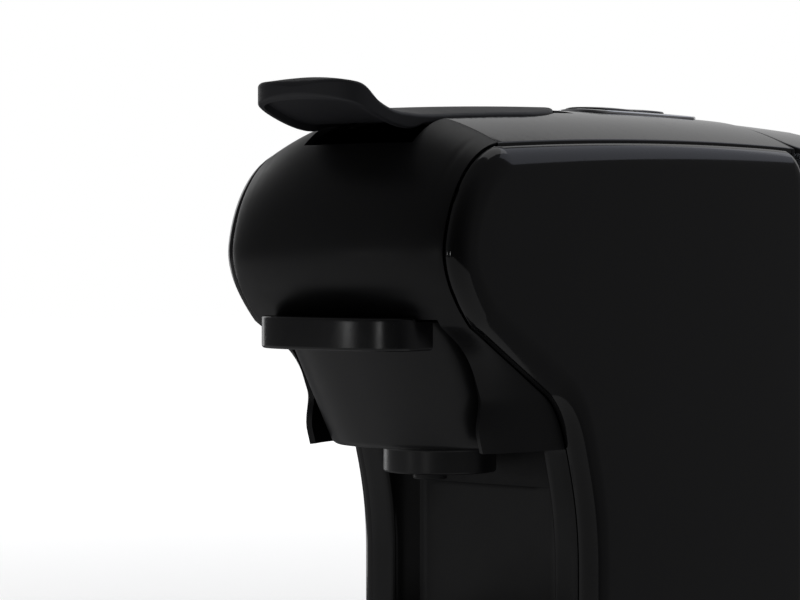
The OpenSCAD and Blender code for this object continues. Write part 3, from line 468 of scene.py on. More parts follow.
def side_panel(name, side):
    s = Shape()
    o = panel_loop()
    turn = np.linspace(0, math.pi / 2, 11)
    roll = [(ROLL * (1 - math.cos(a)) + 0.02, SEAM + (FACE_X - SEAM) * math.sin(a)) for a in turn]
    prof = [(9.2, FACE_X - WALL), (5, FACE_X - WALL - 1.4), (2.6, SEAM), (0.35, SEAM)] + roll[1:]
    rings = [s.ring(inset(o, d), x) for d, x in prof]
    for a, b in zip(rings, rings[1:]):
        s.bridge(a, b)
    s.cap([rings[-1]], FACE_X, 14)
    s.cap([rings[0]], FACE_X - WALL, 14, flip=True)
    if side < 0:
        s.f = [f[::-1] for f in s.f]
    piece("panel_shell_" + name, s, "machine", "gloss_black", ["side_panel_" + name],
          put=lambda y, z, x: (side * x, y, z))


side_panel("right", 1)
side_panel("left", -1)


# ---------------------------------------------------------------- head cover
def sweep(x):
    """How far the head stands ahead of its seam at x, from 0 to 1."""
    return max(0.0, 1 - (x / SEAM) ** 2) ** 0.7


def head_knots(x):
    """Curve of the upper head at x, from the top cover down to its foremost point."""
    q, top = sweep(x), roof(x, COVER_Y)
    up = top - SEAM_TOP
    return [[COVER_Y, top], [-124 - 3 * q, top - 3.2], [-134.5 - BULGE * q, 200 + 0.35 * up],
            [-137 - BULGE * q, FACE_Z]]


def low_point(p, x):
    """A point of the seam brought forward to x, on the lower head and the shoulders."""
    b, d = clamp((165 - p[1]) / 15), clamp((150.2 - p[1]) / 40.5)
    box = max(0.0, 1 - (abs(x) / (SEAM - 0.55 * b)) ** (2 + 3 * b)) ** 0.7
    return (p[0] - (BULGE + 49.5 * d * d * (3 - 2 * d)) * box, p[1])


def at_height(knots, z):
    """Curve parameter where a falling or rising curve passes height z."""
    t = np.linspace(0, 1, 400)
    h = bez(knots, t)[:, 1]
    i = np.argsort(h)
    return float(np.interp(z, h[i], t[i]))


NOTCH_ROWS, FACE_ROWS, TURN_ROWS = 8, 21, 15
TURN_T = at_height(SEAMS[2], HEAD_LOW)
LOW_T = np.r_[np.linspace(1, TURN_T, TURN_ROWS + 1), np.linspace(TURN_T, 0, 4)[1:]]


def head_section(x):
    """The head cover's line at x, from the roof to the column."""
    k = head_knots(x)
    tn = at_height(k, NOTCH_Z) if roof(x, COVER_Y) > NOTCH_Z + 3 else 0.3
    ts = np.r_[np.linspace(0, tn, NOTCH_ROWS + 1)[:-1], np.linspace(tn, 1, FACE_ROWS + 1)[:-1]]
    pts = [tuple(p) for p in bez(k, ts)]
    pts += [low_point(bez(SEAMS[2], t), x) for t in LOW_T]
    pts += [low_point(bez(SEAMS[1], t), x) for t in np.linspace(1, 0, 12)[1:]]
    pts += [low_point(bez(SEAMS[0], t), x) for t in np.linspace(1, 0, 12)[1:]]
    return pts


def head_columns():
    """Places across the head, with one on each edge of the notch and of the bay."""
    a = [0, math.asin(NOTCH_X / EDGE), math.asin(BAY_X / EDGE), math.pi / 2]
    half = np.r_[np.linspace(a[0], a[1], 9)[:-1], np.linspace(a[1], a[2], 9)[:-1], np.linspace(a[2], a[3], 9)]
    xs = EDGE * np.sin(half)
    return np.r_[-xs[:0:-1], xs]


def head_cover():
    xs = head_columns()
    cols = [head_section(x * 0.995) for x in xs]
    s = Shape()
    ids = [s.points([(x, p[0], p[1]) for p in c]) for x, c in zip(xs, cols)]
    low_row = NOTCH_ROWS + FACE_ROWS + TURN_ROWS
    for i in range(len(xs) - 1):
        xm = abs(xs[i] + xs[i + 1]) / 2
        for j in range(len(cols[0]) - 1):
            if xm < NOTCH_X and j < NOTCH_ROWS:
                continue
            if xm < BAY_X and j >= low_row:
                continue
            s.f.append((ids[i][j], ids[i][j + 1], ids[i + 1][j + 1], ids[i + 1][j]))
    ob = piece("head_cover", s, "machine", "satin_black", ["front_cover"], weld=False, sharp=60)
    d = ob.modifiers.new("wall", "SOLIDIFY")
    d.thickness, d.offset, d.use_even_offset = WALL / 1000, -1, True
    b = ob.modifiers.new("edges", "BEVEL")
    b.width, b.segments, b.limit_method, b.angle_limit = 0.0005, 3, "ANGLE", math.radians(50)
    w = ob.modifiers.new("even_normals", "WEIGHTED_NORMAL")
    w.keep_sharp = True


head_cover()


def finger_notch():
    """Pocket under the lever nose: a floor and two cheeks."""
    def face_y(x, z):
        k = bez(head_knots(x), np.linspace(0, 1, 200))
        return float(np.interp(-z, -k[:, 1], k[:, 0]))

    s = Shape()
    x1 = NOTCH_X + 1.6
    front = [(x, face_y(x, NOTCH_Z) + 0.5) for x in np.linspace(-x1, x1, 25)]
    floor = front + [(x1, COVER_Y), (-x1, COVER_Y)]
    plate(floor, [], NOTCH_Z, NOTCH_Z - WALL, edge(0.5), edge(0.3), 5, shape=s)
    piece("notch_floor", s, "machine", "satin_black", [])
    for side, name in ((1, "right"), (-1, "left")):
        s = Shape()
        cheek = [tuple(p + np.array([0.5, -0.7])) for p in bez(head_knots(x1), np.linspace(0, 0.62, 14))]
        cheek += [(COVER_Y, NOTCH_Z - 1)]
        plate(cheek, [], 1.8, 0, edge(0.4), edge(0.3), 5, shape=s)
        if side < 0:
            s.f = [f[::-1] for f in s.f]
        piece("notch_cheek_" + name, s, "machine", "satin_black", [],
              put=lambda y, z, x, k=side: (k * (NOTCH_X + x), y, z))


finger_notch()


# ---------------------------------------------------------------- lever
NOSE_TOP = [[[-110, 235], [-127, 234.4], [-133, 236], [-139.5, 239.2]],
            [[-139.5, 239.2], [-146, 242.4], [-147.5, 245.2], [-152.5, 245]],
            [[-152.5, 245], [-157, 244.8], [-160.6, 243.8], [NOSE_Y, 241.4]]]
NOSE_LOW = [[[-106, 231.2], [-112, 230.8], [-117, 226.4], [-123, 226.3]],
            [[-123, 226.3], [-131, 226.2], [-142, 229.6], [-152, 233.8]],
            [[-152, 233.8], [-156, 235.2], [-159.5, 236.2], [NOSE_Y, 238.2]]]


def nose_line(curves):
    return np.vstack([bez(k, np.linspace(0, 1, 40)) for k in curves])[::-1]


TOP_LINE, LOW_LINE = nose_line(NOSE_TOP), nose_line(NOSE_LOW)


def lever_w(y):
    """Half width of the lever, which is round at its nose and at its tail."""
    if y < NARROW_Y:
        return max(1.2, LEVER_X * max(0.0, 1 - ((NARROW_Y - y) / (NARROW_Y - NOSE_Y)) ** 5) ** 0.45)
    if y < TAIL_Y:
        return LEVER_X
    return max(1.2, LEVER_X * math.sqrt(max(0.0, 1 - ((y - TAIL_Y) / (TIP_Y - TAIL_Y)) ** 2)))


def lever_drop(x, y):
    """How far the lever falls off toward its sides."""
    far = min(1.0, (x / lever_w(y)) ** 2)
    return x * x / (2 * CAMBER_R) + far * (1.2 * clamp((-125 - y) / 20) - 2.4 * clamp((-142 - y) / 15))


def lever_top(x, y):
    z = roof(0, y) + 1.2 if y > -110 else float(np.interp(y, TOP_LINE[:, 0], TOP_LINE[:, 1]))
    return z - lever_drop(x, y) - 0.2 * clamp((-120 - y) / 20)


def lever_low(x, y):
    z = roof(0, y) - 1.9 if y > -106 else float(np.interp(y, LOW_LINE[:, 0], LOW_LINE[:, 1]))
    return z - lever_drop(x, y) * clamp((y + 116) / 10)


def lever_loop(grow=0.0, front=NOSE_Y):
    """Outline of the lever, or of its bed when it is cut off at front."""
    a = np.linspace(0, math.pi / 2, 30)
    whole = front <= NOSE_Y
    nose = NARROW_Y - (NARROW_Y - NOSE_Y) * np.sin(a)[::-1] ** 0.9 if whole else np.array([front])
    tail = TAIL_Y + (TIP_Y - TAIL_Y) * np.sin(np.linspace(0, math.pi / 2, 34))
    ys = np.r_[nose, np.linspace(NARROW_Y if whole else front, TAIL_Y, 40)[1:-1], tail]
    right = [(lever_w(y) + grow, y + (grow if y > -12 else 0)) for y in ys]
    return turned(right + [(-x, y) for x, y in right[::-1]])


def lever_piece():
    s = Shape()
    loop = lever_loop()

    def deep(y):
        """Depth of the hollow under the nose."""
        return 2.6 * clamp((-106 - y) / 12)

    t = [s.ring(inset(loop, d), lambda x, y, z=z: lever_top(x, y) - z) for d, z in edge(1.3, 5)]
    low = [(d, z, 0.0) for d, z in edge(0.8, 4)]
    low += [(2.3, 0, 0.0), (2.6, 0, 0.12), (3.2, 0, 0.9), (3.7, 0, 1.0)]
    b = [s.ring(inset(loop, d), lambda x, y, z=z, g=g: lever_low(x, y) + z + g * deep(y)) for d, z, g in low]
    s.bridge(b[0], t[0])
    for p, q in zip(t, t[1:]):
        s.bridge(p, q)
    for p, q in zip(b, b[1:]):
        s.bridge(q, p)
    s.cap([t[-1]], lever_top, 2.6)
    s.cap([b[-1]], lambda x, y: lever_low(x, y) + deep(y), 2.6, flip=True)
    piece("lever_shell", s, "lever", "lever_black", ["lever"])
    # two ears that carry the hinge pin and the crank pin
    s = Shape()
    cy, cz = PIVOT_Y - CRANK_R * math.cos(CRANK_A), PIVOT_Z - CRANK_R * math.sin(CRANK_A)
    ear = np.vstack([arc(PIVOT_Y, PIVOT_Z, 4.2, -60, 60, 8), [[-15, 235.9], [cy - 3.6, 235.9]],
                     arc(cy, cz, 3.6, 180, 300, 8)])
    pins = [circle(PIVOT_Y, PIVOT_Z, 2.07, 20), circle(cy, cz, 1.82, 20)]
    for k in (-1, 1):
        e = plate(ear, pins, 3.2, 0, edge(0.3), edge(0.3), 3)
        if k < 0:
            e.f = [f[::-1] for f in e.f]
        s.add(e, lambda y, z, h, k=k: (k * (5 + h), y, z))
    piece("lever_ears", s, "lever", "lever_black")


lever_piece()


# ---------------------------------------------------------------- top cover, ring, buttons
def slot_loop(y0, y1, r, n=20):
    """A slot with round ends along Y."""
    return np.vstack([arc(0, y1 - r, r, 0, 180, n), arc(0, y0 + r, r, 180, 360, n)])


HINGE_X, HINGE_Y, EAR_X, EAR_Y = 18.6, -24.0, 13.2, -36.0


def hinge_loop():
    """The opening round the lever's ears, and behind them the room its tail swings through."""
    xs = np.linspace(HINGE_X, -HINGE_X, 25)
    tail = TAIL_Y + (TIP_Y - TAIL_Y) * np.sqrt(1 - (xs / LEVER_X) ** 2)
    up = roof(xs, PIVOT_Y) + 1.2 - PIVOT_Z
    back = np.c_[xs, PIVOT_Y + 0.4 + np.hypot(np.maximum(0, tail - PIVOT_Y), up)]
    front = [[-HINGE_X, HINGE_Y], [-EAR_X, HINGE_Y], [-EAR_X, EAR_Y], [EAR_X, EAR_Y], [EAR_X, HINGE_Y],
             [HINGE_X, HINGE_Y]]
    return np.vstack([front, back])


def bed_plate(name, loop, step):
    """A thin floor under the lever, let into the top cover."""
    s = plate(dense(turned(loop), step), [], lambda x, y: roof(x, y) - 2.35, lambda x, y: roof(x, y) - 4.4,
              edge(0.2, 1), edge(0.2, 1), 5)
    piece(name, s, "machine", "gloss_black")


def top_cover():
    x1, y0, y1 = EDGE - 0.1, COVER_Y + 2 * GAP, REAR_Y - WALL - GAP
    bed_x = LEVER_X + 0.5
    bed = turned(lever_loop(0.5, front=-103.9))
    bed = bed[bed[:, 1] > y0 + 0.05]
    left, right = bed[bed[:, 0] < 0], bed[bed[:, 0] >= 0]
    left, right = left[np.argsort(left[:, 1])], right[np.argsort(-right[:, 1])]
    # the opening for the lever tail cuts through the back of the bed
    hinge = hinge_loop()
    bed = np.vstack([[[-bed_x, y0]], left, right, [[bed_x, y0]]])
    tail = [p for p in hinge[:5:-1] if not inside(bed, p[None])[0]]
    u = np.vstack([[[-x1, y0], [-bed_x, y0]], left[~inside(hinge, left)], tail, right[~inside(hinge, right)],
                   [[bed_x, y0], [x1, y0], [x1, y1], [-x1, y1]]])
    holes = [slot_loop(SMALL[0] - 0.4, LARGE[1] + 0.4, BTN_X + 0.4), circle(0, LAMP_Y, LAMP_R + 0.2, 32)]
    s = plate(dense(turned(u), 4), holes, roof, lambda x, y: roof(x, y) - WALL, edge(0.45), edge(0.3, 2), 4)
    piece("roof_shell", s, "machine", "gloss_black", ["top_cover"])
    ends = [[-bed_x - 0.3, y0]], [[-bed_x, EAR_Y], [bed_x, EAR_Y]], [[bed_x + 0.3, y0]]
    floor = np.vstack([ends[0], left[left[:, 1] < EAR_Y], ends[1], right[right[:, 1] < EAR_Y], ends[2]])
    bed_plate("lever_bed", floor, 5)
    for k, name in ((-1, "left"), (1, "right")):
        side = [(EAR_X + 0.2, EAR_Y)] + [(lever_w(y) + 0.7, y) for y in np.linspace(EAR_Y, HINGE_Y, 7)]
        side += [(HINGE_X + 0.1, HINGE_Y), (EAR_X + 0.2, HINGE_Y)]
        bed_plate("bed_side_" + name, [(k * x, y) for x, y in side], 4)


top_cover()


def mark(mid, w, d, crown):
    """Pale print on a cap: the outline of a plain cup with its handle."""
    def line(outer, inner, step, s=None):
        return plate(dense(turned(outer), step), [dense(turned(inner, False), step)],
                     lambda x, y: crown(x, y) + 0.03, lambda x, y: crown(x, y) - 0.2,
                     [(0, 0.01), (0.02, 0)], [(0, 0.01), (0.02, 0)], 2, shape=s)

    half = [(w, d), (w * 0.72, -d * 0.6), (w * 0.35, -d)]
    cup = [(-w, mid + d)] + [(x, mid + y) for x, y in half] + [(-x, mid + y) for x, y in half[:0:-1]]
    s = line(cup, inset(turned(cup), 0.45), 0.8)
    x0, x1, y0, y1 = w * 0.95, w * 0.95 + 1.3, mid - 0.3 * d, mid + 0.6 * d
    return line(rounded_box(x0, y0, x1, y1, 0.6, 4),
                rounded_box(x0 + 0.1, y0 + 0.45, x1 - 0.45, y1 - 0.45, 0.3, 3), 1, s)


def button(name, node, loop, mid, w, d):
    """A crowned cap with its mark."""
    def crown(x, y):
        return roof(x, y) + 2.3 - 0.0016 * ((y - mid) ** 2 + 1.4 * x * x)

    s = plate(turned(dense(turned(loop), 2.5)), [], crown, lambda x, y: roof(x, y) - 4,
              edge(0.9, 5), edge(0.3, 2), 2.5)
    piece(name, s, name, "gloss_black", [node])
    piece(name + "_mark", mark(mid, w, d, crown), name, "lens_white")


def control_panel():
    holes = [slot_loop(SMALL[0] - 0.4, LARGE[1] + 0.4, BTN_X + 0.4, 24), circle(0, LAMP_Y, LAMP_R + 0.2, 32)]
    s = plate(slot_loop(RING[0], RING[1], RING_X, 28), holes, lambda x, y: roof(x, y) + 1.2,
              lambda x, y: roof(x, y) + 0.02, edge(0.55, 4), edge(0.1, 1), 3)
    piece("control_ring", s, "machine", "chrome", ["control_bezel"])
    # the two caps share one slot, parted across its middle
    full = turned(slot_loop(SMALL[0], LARGE[1], BTN_X, 24))
    front = full[full[:, 1] < SMALL[0] + BTN_X + 0.01]
    back = full[full[:, 1] > LARGE[1] - BTN_X - 0.01]
    button("small_button", "small_cup_button", np.vstack([[[-BTN_X, SMALL[1]]], front, [[BTN_X, SMALL[1]]]]),
           sum(SMALL) / 2, 2.6, 2.2)
    button("large_button", "large_cup_button", np.vstack([[[BTN_X, LARGE[0]]], back, [[-BTN_X, LARGE[0]]]]),
           sum(LARGE) / 2, 3.6, 3.4)
    s = plate(circle(0, LAMP_Y, LAMP_R, 40), [],
              lambda x, y: roof(x, y) + 1.0 - 0.02 * (x * x + (y - LAMP_Y) ** 2),
              lambda x, y: roof(x, y) - 3, edge(0.5, 3), edge(0.2, 1), 1.2)
    piece("lamp_lens", s, "machine", "lens_white", ["status_lens"])


control_panel()


# ---------------------------------------------------------------- adapter and outlet
def adapter_loop(w, nose, back, deep=38.0, n=56):
    """A bluff round front, straight sides and a flat back."""
    a = math.pi + math.pi * np.arange(n + 1) / n
    c, q = np.cos(a), np.sin(a)
    front = np.c_[w * np.sign(c) * np.abs(c) ** 0.8, nose + deep - deep * np.abs(q) ** 0.8]
    return turned(np.vstack([front, [[w, back], [-w, back]]]))


def adapter_shell():
    """The leaning adapter body with the bore for its cup."""
    def even(loop):
        return np.vstack([loop[:-2], np.linspace(loop[-2], loop[-1], 12)[:-1], [loop[-1]],
                          np.linspace(loop[-1], loop[0], 8)[1:-1]])

    s = Shape()
    levels = [(d, POD_LOW + z) for d, z in edge(2.2, 6)][::-1]
    levels += [(0, z) for z in (112, 120, 128, 136, 144, 150)]
    levels += [(d, POD_TOP - z) for d, z in edge(0.7, 3)]
    r = []
    for d, z in levels:
        loop = adapter_loop(POD_W, -142 + (POD_TOP - z) * POD_LEAN, -45.4)
        r.append(s.ring(even(inset(loop, d)), z))
    bore = turned(circle(0, POD_Y, CUP_R, 64), False)
    t = [s.ring(inset(bore, d), POD_TOP - z) for d, z in edge(0.5, 3)]
    b = s.ring(bore, POD_LOW)
    for rings in (r, [b] + t):
        for lower, upper in zip(rings, rings[1:]):
            s.bridge(lower, upper)
    s.cap([r[-1], t[-1]], POD_TOP, 5)
    s.cap([r[0], b], POD_LOW, 5, flip=True)
    return s


def grip():
    """The bar in front of the adapter with a low lip on it."""
    s = Shape()
    bar = adapter_loop(GRIP_W, GRIP_Y, GRIP_BACK, 16.0, 60)
    round_part = bar[bar[:, 1] < -134.6]
    lip = np.vstack([[[0.1 - GRIP_W, -134.4]], round_part[np.argsort(round_part[:, 0])],
                     [[GRIP_W - 0.1, -134.4]]])
    for loop, z0, z1, rt, rb in ((bar, 144, POD_TOP, 0.3, 1.3), (lip, 154.6, 156.3, 1.0, 0.02)):
        plate(dense(turned(loop), 3), [], z1, z0, edge(rt, 4), edge(rb, 4), 4, shape=s)
    return s


def adapter():
    piece("adapter_shell", adapter_shell(), "adapter", "adapter_black", ["adapter_body"])
    piece("grip_bar", grip(), "adapter", "grip_black", ["adapter_grip"])
    cup = [(0, 108.7), (26.2, 108.7), (26.2, POD_TOP), (24, POD_TOP), (24, 152.9), (22, 152.9), (22, 110.6),
           (0, 110.6)]
    piece("capsule_holder", lathe(soften(cup, 0.8), 0, POD_Y, 72), "adapter", "steel", ["capsule_cup"])
    collar = [(0, 95), (22, 95), (22, 104.6), (24.5, 104.6), (24.5, 108.3), (20, 108.3), (20, 97), (0, 97)]
    collar_ring = lathe(soften(collar, 0.9), 0, OUT_Y, 96)
    piece("collar_ring", collar_ring, "adapter", "adapter_black", ["outlet_collar"])
    tip = [(0, 96), (2.6, 96), (2.6, 92.4), (6.5, 92.4), (6.5, 95), (4.05, 95), (4.05, 98.4), (0, 98.4)]
    piece("outlet_tip", lathe(soften(tip, 0.5), 0, POD_Y, 48), "adapter", "matte_black", ["outlet_nozzle"])


adapter()


# ---------------------------------------------------------------- column with the cup channel
def column():
    """The front of the column: a lip on each side, then the channel for the back of a cup."""
    straight = [[COL_Y, z] for z in (BASE_Z + GAP, 24, 36, 48)]
    lip, deep, half = 5.6, 10.0, 34.0
    flat, foot = half - 4, 86.4
    out = half + lip
    s = Shape()
    rows = []
    for y, z in np.vstack([straight, bez(COLUMN, np.linspace(0, 1, 22))]):
        a = np.radians(np.linspace(0, 90, 12))
        side = np.c_[half + lip * np.cos(a) ** 2, COL_Y - 1 + (deep + 1) * np.sin(a)]
        mouth = [(EDGE, y), (EDGE - 3.5, y), (out + 3.2, y), (out + 1.2, y + 0.12), (out + 0.35, y + 0.5),
                 (out, y + 1.2)]
        right = mouth + [(p[0], max(p[1], y + 1.4 + 0.1 * i)) for i, p in enumerate(side)]
        back = [(x, COL_Y + deep) for x in np.linspace(flat, -flat, 9)]
        left = [(-x, yy) for x, yy in right[::-1]]
        rows.append(s.points([(x, yy, z) for x, yy in right + back + left]))
    for a, b in zip(rows, rows[1:]):
        s.bridge(b, a, closed=False)
    # above the cup the brew housing closes the back of the channel
    s.f = [f for f in s.f if not all(abs(s.v[i][0]) <= flat + 0.1 and s.v[i][2] > foot for i in f)]
    ob = piece("column_shell", s, "machine", "column_black", ["column_front"], weld=False, sharp=55)
    wall = ob.modifiers.new("wall", "SOLIDIFY")
    wall.thickness, wall.offset = 0.0022, -1
    soft = ob.modifiers.new("edges", "BEVEL")
    soft.width, soft.segments, soft.limit_method, soft.angle_limit = 0.0005, 2, "ANGLE", math.radians(60)


column()


# ---------------------------------------------------------------- base, feet, rear
def base():
    """The base under the body, with a tongue under the drip tray."""
    back = rounded_box(-57.3, -52.8, 57.3, 160.5, 10, 10)
    s = plate(dense(turned(back), 8), [circle(0, VALVE_Y, 8.3, 32)], BASE_Z, FOOT_H,
              edge(0.8, 3), edge(0.8, 3), 10)
    front = rounded_box(-45, -140, 45, -40, 20, 14)
    plate(dense(turned(front), 8), [], TRAY_LOW - 0.4, FOOT_H + 0.05, edge(0.6, 3), edge(0.8, 3), 10, shape=s)
    piece("base_shell", s, "machine", "satin_black", ["base_housing"])
    s = Shape()
    foot = soften([(0, 0.0), (7, 0), (7, FOOT_H + 0.1), (0, FOOT_H + 0.1)], 0.8)
    foot = [(0, 0.5), (3.6, 0.5), (4.2, 0)] + [tuple(p) for p in foot[1:]]
    for x, y in FEET:
        lathe(foot, x, y, 32, shape=s)
    piece("foot_pads", s, "machine", "rubber", ["feet"])


def upright(x, z, h):
    """Stands a plate or a turned part up in the plane of the rear cover."""
    return x, REAR_Y + h, z


def rear():
    """The rear cover with its vents, and the gland that the mains lead enters by."""
    xs = np.linspace(EDGE, -EDGE, 40)
    loop = np.vstack([[[-EDGE, BASE_Z + GAP], [EDGE, BASE_Z + GAP]], np.c_[xs, roof(xs, REAR_Y) - 0.2]])
    holes = [rounded_box(-32, 150 + 6 * i, 32, 153 + 6 * i, 1.45, 5) for i in range(9)]
    holes.append(circle(INLET_X, INLET_Z, 6.1, 32))
    s = plate(dense(turned(loop), 6), holes, 0, -WALL, edge(0.5, 3), edge(0.3, 2), 9)
    s.f = [f[::-1] for f in s.f]
    piece("rear_shell", s, "machine", "satin_black", ["rear_cover"], put=upright)
    gland = [(0, -3), (5, -3), (5, -WALL), (6, -WALL), (6, 0), (8, 0), (8, 1.4), (4.2, 1.4), (3.4, 0.6),
             (3.4, -2), (0, -2)]
    s = lathe(soften(gland, 0.5), INLET_X, INLET_Z, 40)
    s.f = [f[::-1] for f in s.f]
    piece("inlet_gland", s, "machine", "rubber", ["cable_gland"], put=upright)


base()
rear()


# ---------------------------------------------------------------- tank, lid
def tub(s, outer, z0, z1, wall, floor, r_low, r_rim, r_in):
    """An open box: outer wall, rim, inner wall and floor."""
    rings = [s.ring(inset(outer, d), z0 + z) for d, z in edge(r_low, 4)[::-1]]
    rings += [s.ring(outer, z) for z in np.linspace(z0, z1, 8)[1:-1]]
    rings += [s.ring(inset(outer, d), z1 - z) for d, z in edge(r_rim, 3)]
    rings += [s.ring(inset(outer, wall - d), z1 - z) for d, z in edge(r_rim, 3)[::-1]]
    rings += [s.ring(inset(outer, wall), z) for z in np.linspace(z1, z0 + floor, 8)[1:-1]]
    rings += [s.ring(inset(outer, wall + d), z0 + floor + z) for d, z in edge(r_in, 3)]
    for a, b in zip(rings, rings[1:]):
        s.bridge(a, b)
    s.cap([rings[0]], z0, 8, flip=True)
    s.cap([rings[-1]], z0 + floor, 8)
    return s


def along_x(y, z, h):
    """Lays a part that was turned about Z down along X."""
    return h, y, z


def tank():
    loop = dense(turned(rounded_box(-TANK_X, TANK_Y0, TANK_X, TANK_Y1, CORNER, 12)), 8)
    s = tub(Shape(), loop, 13.2, 222, 2.2, 2.4, 2.0, 0.8, 1.5)
    # the hinge pin, its two knuckles and their lugs
    for x in (18, -28):
        knuckle = soften([(0, x), (1.8, x), (1.8, x + 10), (0, x + 10)], 0.3)
        s.add(lathe(knuckle, LID_Y, LID_Z, 24), along_x)
    s.add(lathe([(0, -26), (1, -26), (1, 26), (0, 26)], LID_Y, LID_Z, 16), along_x)
    for x in (18.2, -27.8):
        lug = rounded_box(x, LID_Y - 0.1, x + 9.6, TANK_Y1, 0.5, 3)
        plate(dense(turned(lug), 3), [], LID_Z, 221.2, edge(0.2, 1), edge(0.2, 1), 4, shape=s)
    piece("tank_shell", s, "tank", "tank_clear", ["water_tank"])


def lid():
    """A crowned cap, its back edge cut away round the hinge."""
    notch = [(28.4, TANK_Y1), (28.4, 156.8), (17.7, 156.8), (17.7, TANK_Y1)]
    x0, y0, y1 = TANK_X - CORNER, TANK_Y0 + CORNER, TANK_Y1 - CORNER
    outer = dense(np.vstack([arc(x0, y0, CORNER, -90, 0, 12), arc(x0, y1, CORNER, 0, 90, 12), notch,
                             [(-x, y) for x, y in notch[::-1]], arc(-x0, y1, CORNER, 90, 180, 12),
                             arc(-x0, y0, CORNER, 180, 270, 12)]), 3)

    def up(x, y):
        return roof(x, y) - 0.6

    def rim(x, y):
        return LID_Z if y > LID_Y + 0.1 else 222.2

    def ceiling(x, y):
        return max(roof(x, y) - 3.0, rim(x, y) + 0.05)

    def rise(z):
        """The outer edge, z below the crown."""
        return lambda x, y: max(rim(x, y) + 0.2, up(x, y) - min(z, 0.4 * (up(x, y) - rim(x, y) - 0.2)))

    s = Shape()
    rings = [s.ring(inset(outer, WALL), ceiling), s.ring(inset(outer, WALL), rim),
             s.ring(inset(outer, 0.2), rim), s.ring(outer, lambda x, y: rim(x, y) + 0.1)]
    rings += [s.ring(inset(outer, d), rise(z)) for d, z in edge(0.9, 4)]
    for a, b in zip(rings, rings[1:]):
        s.bridge(a, b)
    s.cap([rings[-1]], up, 4)
    s.cap([rings[0]], ceiling, 5, flip=True)
    knuckle = soften([(0, -17.7), (1.8, -17.7), (1.8, 17.7), (0, 17.7)], 0.3)
    s.add(lathe(knuckle, LID_Y, LID_Z, 24), along_x)
    piece("lid_shell", s, "lid", "gloss_black", ["tank_lid"])


tank()
lid()


# ---------------------------------------------------------------- drip tray and grid
def tray_loop():
    """Outline of the drip tray, round in front."""
    a = math.pi + math.pi * np.arange(61) / 60
    c, q = np.cos(a), np.sin(a)
    front = np.c_[50 * np.sign(c) * np.abs(c) ** 0.55, -112 - 36 * np.abs(q) ** 0.8]
    return turned(np.vstack([front, [[50, -56.2], [-50, -56.2]]]))


def tray():
    """The drip tray with four posts that carry its grid, and the slotted grid."""
    s = tub(Shape(), dense(tray_loop(), 6), TRAY_LOW, TRAY_TOP, TRAY_WALL, 2.0, 1.6, 0.7, 1.0)
    under = TRAY_TOP - TRAY_WALL
    post = soften([(0, 11.3), (3, 11.3), (3, under - 0.1), (0, under - 0.1)], 0.4)
    for x, y in ((-40, -62), (40, -62), (-40, -118), (40, -118)):
        lathe(post, x, y, 20, shape=s)
    piece("tray_tub", s, "tray", "satin_black", ["drip_tray"])
    holes = []
    for i in range(-5, 6):
        front = -118 if i == 0 else -136 + abs(i) * 2
        holes.append(dense(slot_loop(front, -66, 1.9, 8) + np.array([7.4 * i, 0]), 6))
    holes.append(circle(0, -126, 3.2, 24))
    s = plate(dense(turned(inset(tray_loop(), 2.6)), 5), holes, TRAY_TOP, under,
              edge(0.5, 3), edge(0.3, 2), 7)
    piece("tray_grid", s, "grid", "steel", ["drip_grid"])


tray()


# ---------------------------------------------------------------- carried-over nodes: finish and broken edges
FINISH = {"pump_coil": "coil_blue"}
for name, ob in nodes.items():
    key = FINISH.get(name, slot_of.get(name, "matte_black"))
    ob.data.materials.clear()
    ob.data.materials.append(MATS[key])
    if ob.hide_render:
        continue
    w = ob.modifiers.new("join", "WELD")
    w.merge_threshold = 1e-6
    b = ob.modifiers.new("edges", "BEVEL")
    b.width, b.segments, b.limit_method, b.angle_limit = 0.0003, 2, "ANGLE", math.radians(40)
    n = ob.modifiers.new("even_normals", "WEIGHTED_NORMAL")
    n.keep_sharp = True


# ---------------------------------------------------------------- floor, light, camera
def stage():
    s = Shape()
    s.cap([s.ring(circle(0, 0, 6000, 96), -0.5)], -0.5, 900)
    me = bpy.data.meshes.new("floor")
    me.from_pydata([tuple(c / 1000 for c in p) for p in s.v], [], s.f)
    ob = bpy.data.objects.new("floor", me)
    bpy.context.scene.collection.objects.link(ob)
    f = Mat("floor_pale")
    f.link(f.mix(f.noise(3, 3), (0.86, 0.86, 0.86), (0.9, 0.9, 0.9)), f.p.inputs["Base Color"])
    f.link(f.remap(f.noise(60, 3), 0.3, 0.7, 0.6, 0.75), f.p.inputs["Roughness"])
    far = f.t.nodes.new("ShaderNodeVectorMath")
    far.operation = "LENGTH"
    f.link(f.co, far.inputs[0])
    f.link(f.remap(far.outputs["Value"], 0.2, 1.6, 0.62, 0.95), f.p.inputs["Emission Strength"])
    f.fixed(Emission_Color=(1.0, 1.0, 1.0))
    me.materials.append(f.m)
    ob.visible_glossy = ob.visible_diffuse = False


def soft_light(name, at, aim, size, glow, color=(1, 1, 1)):
    """A rectangular soft box of even brightness glow."""
    d = bpy.data.lights.new(name, "AREA")
    d.shape, d.size, d.size_y, d.color = "RECTANGLE", size[0], size[1], color
    d.energy = glow * math.pi * size[0] * size[1]
    o = bpy.data.objects.new(name, d)
    bpy.context.scene.collection.objects.link(o)
    o.location = at
    o.rotation_mode = "QUATERNION"
    o.rotation_quaternion = (Vector(aim) - Vector(at)).to_track_quat("-Z", "Y")
    o.visible_camera = False
    return o


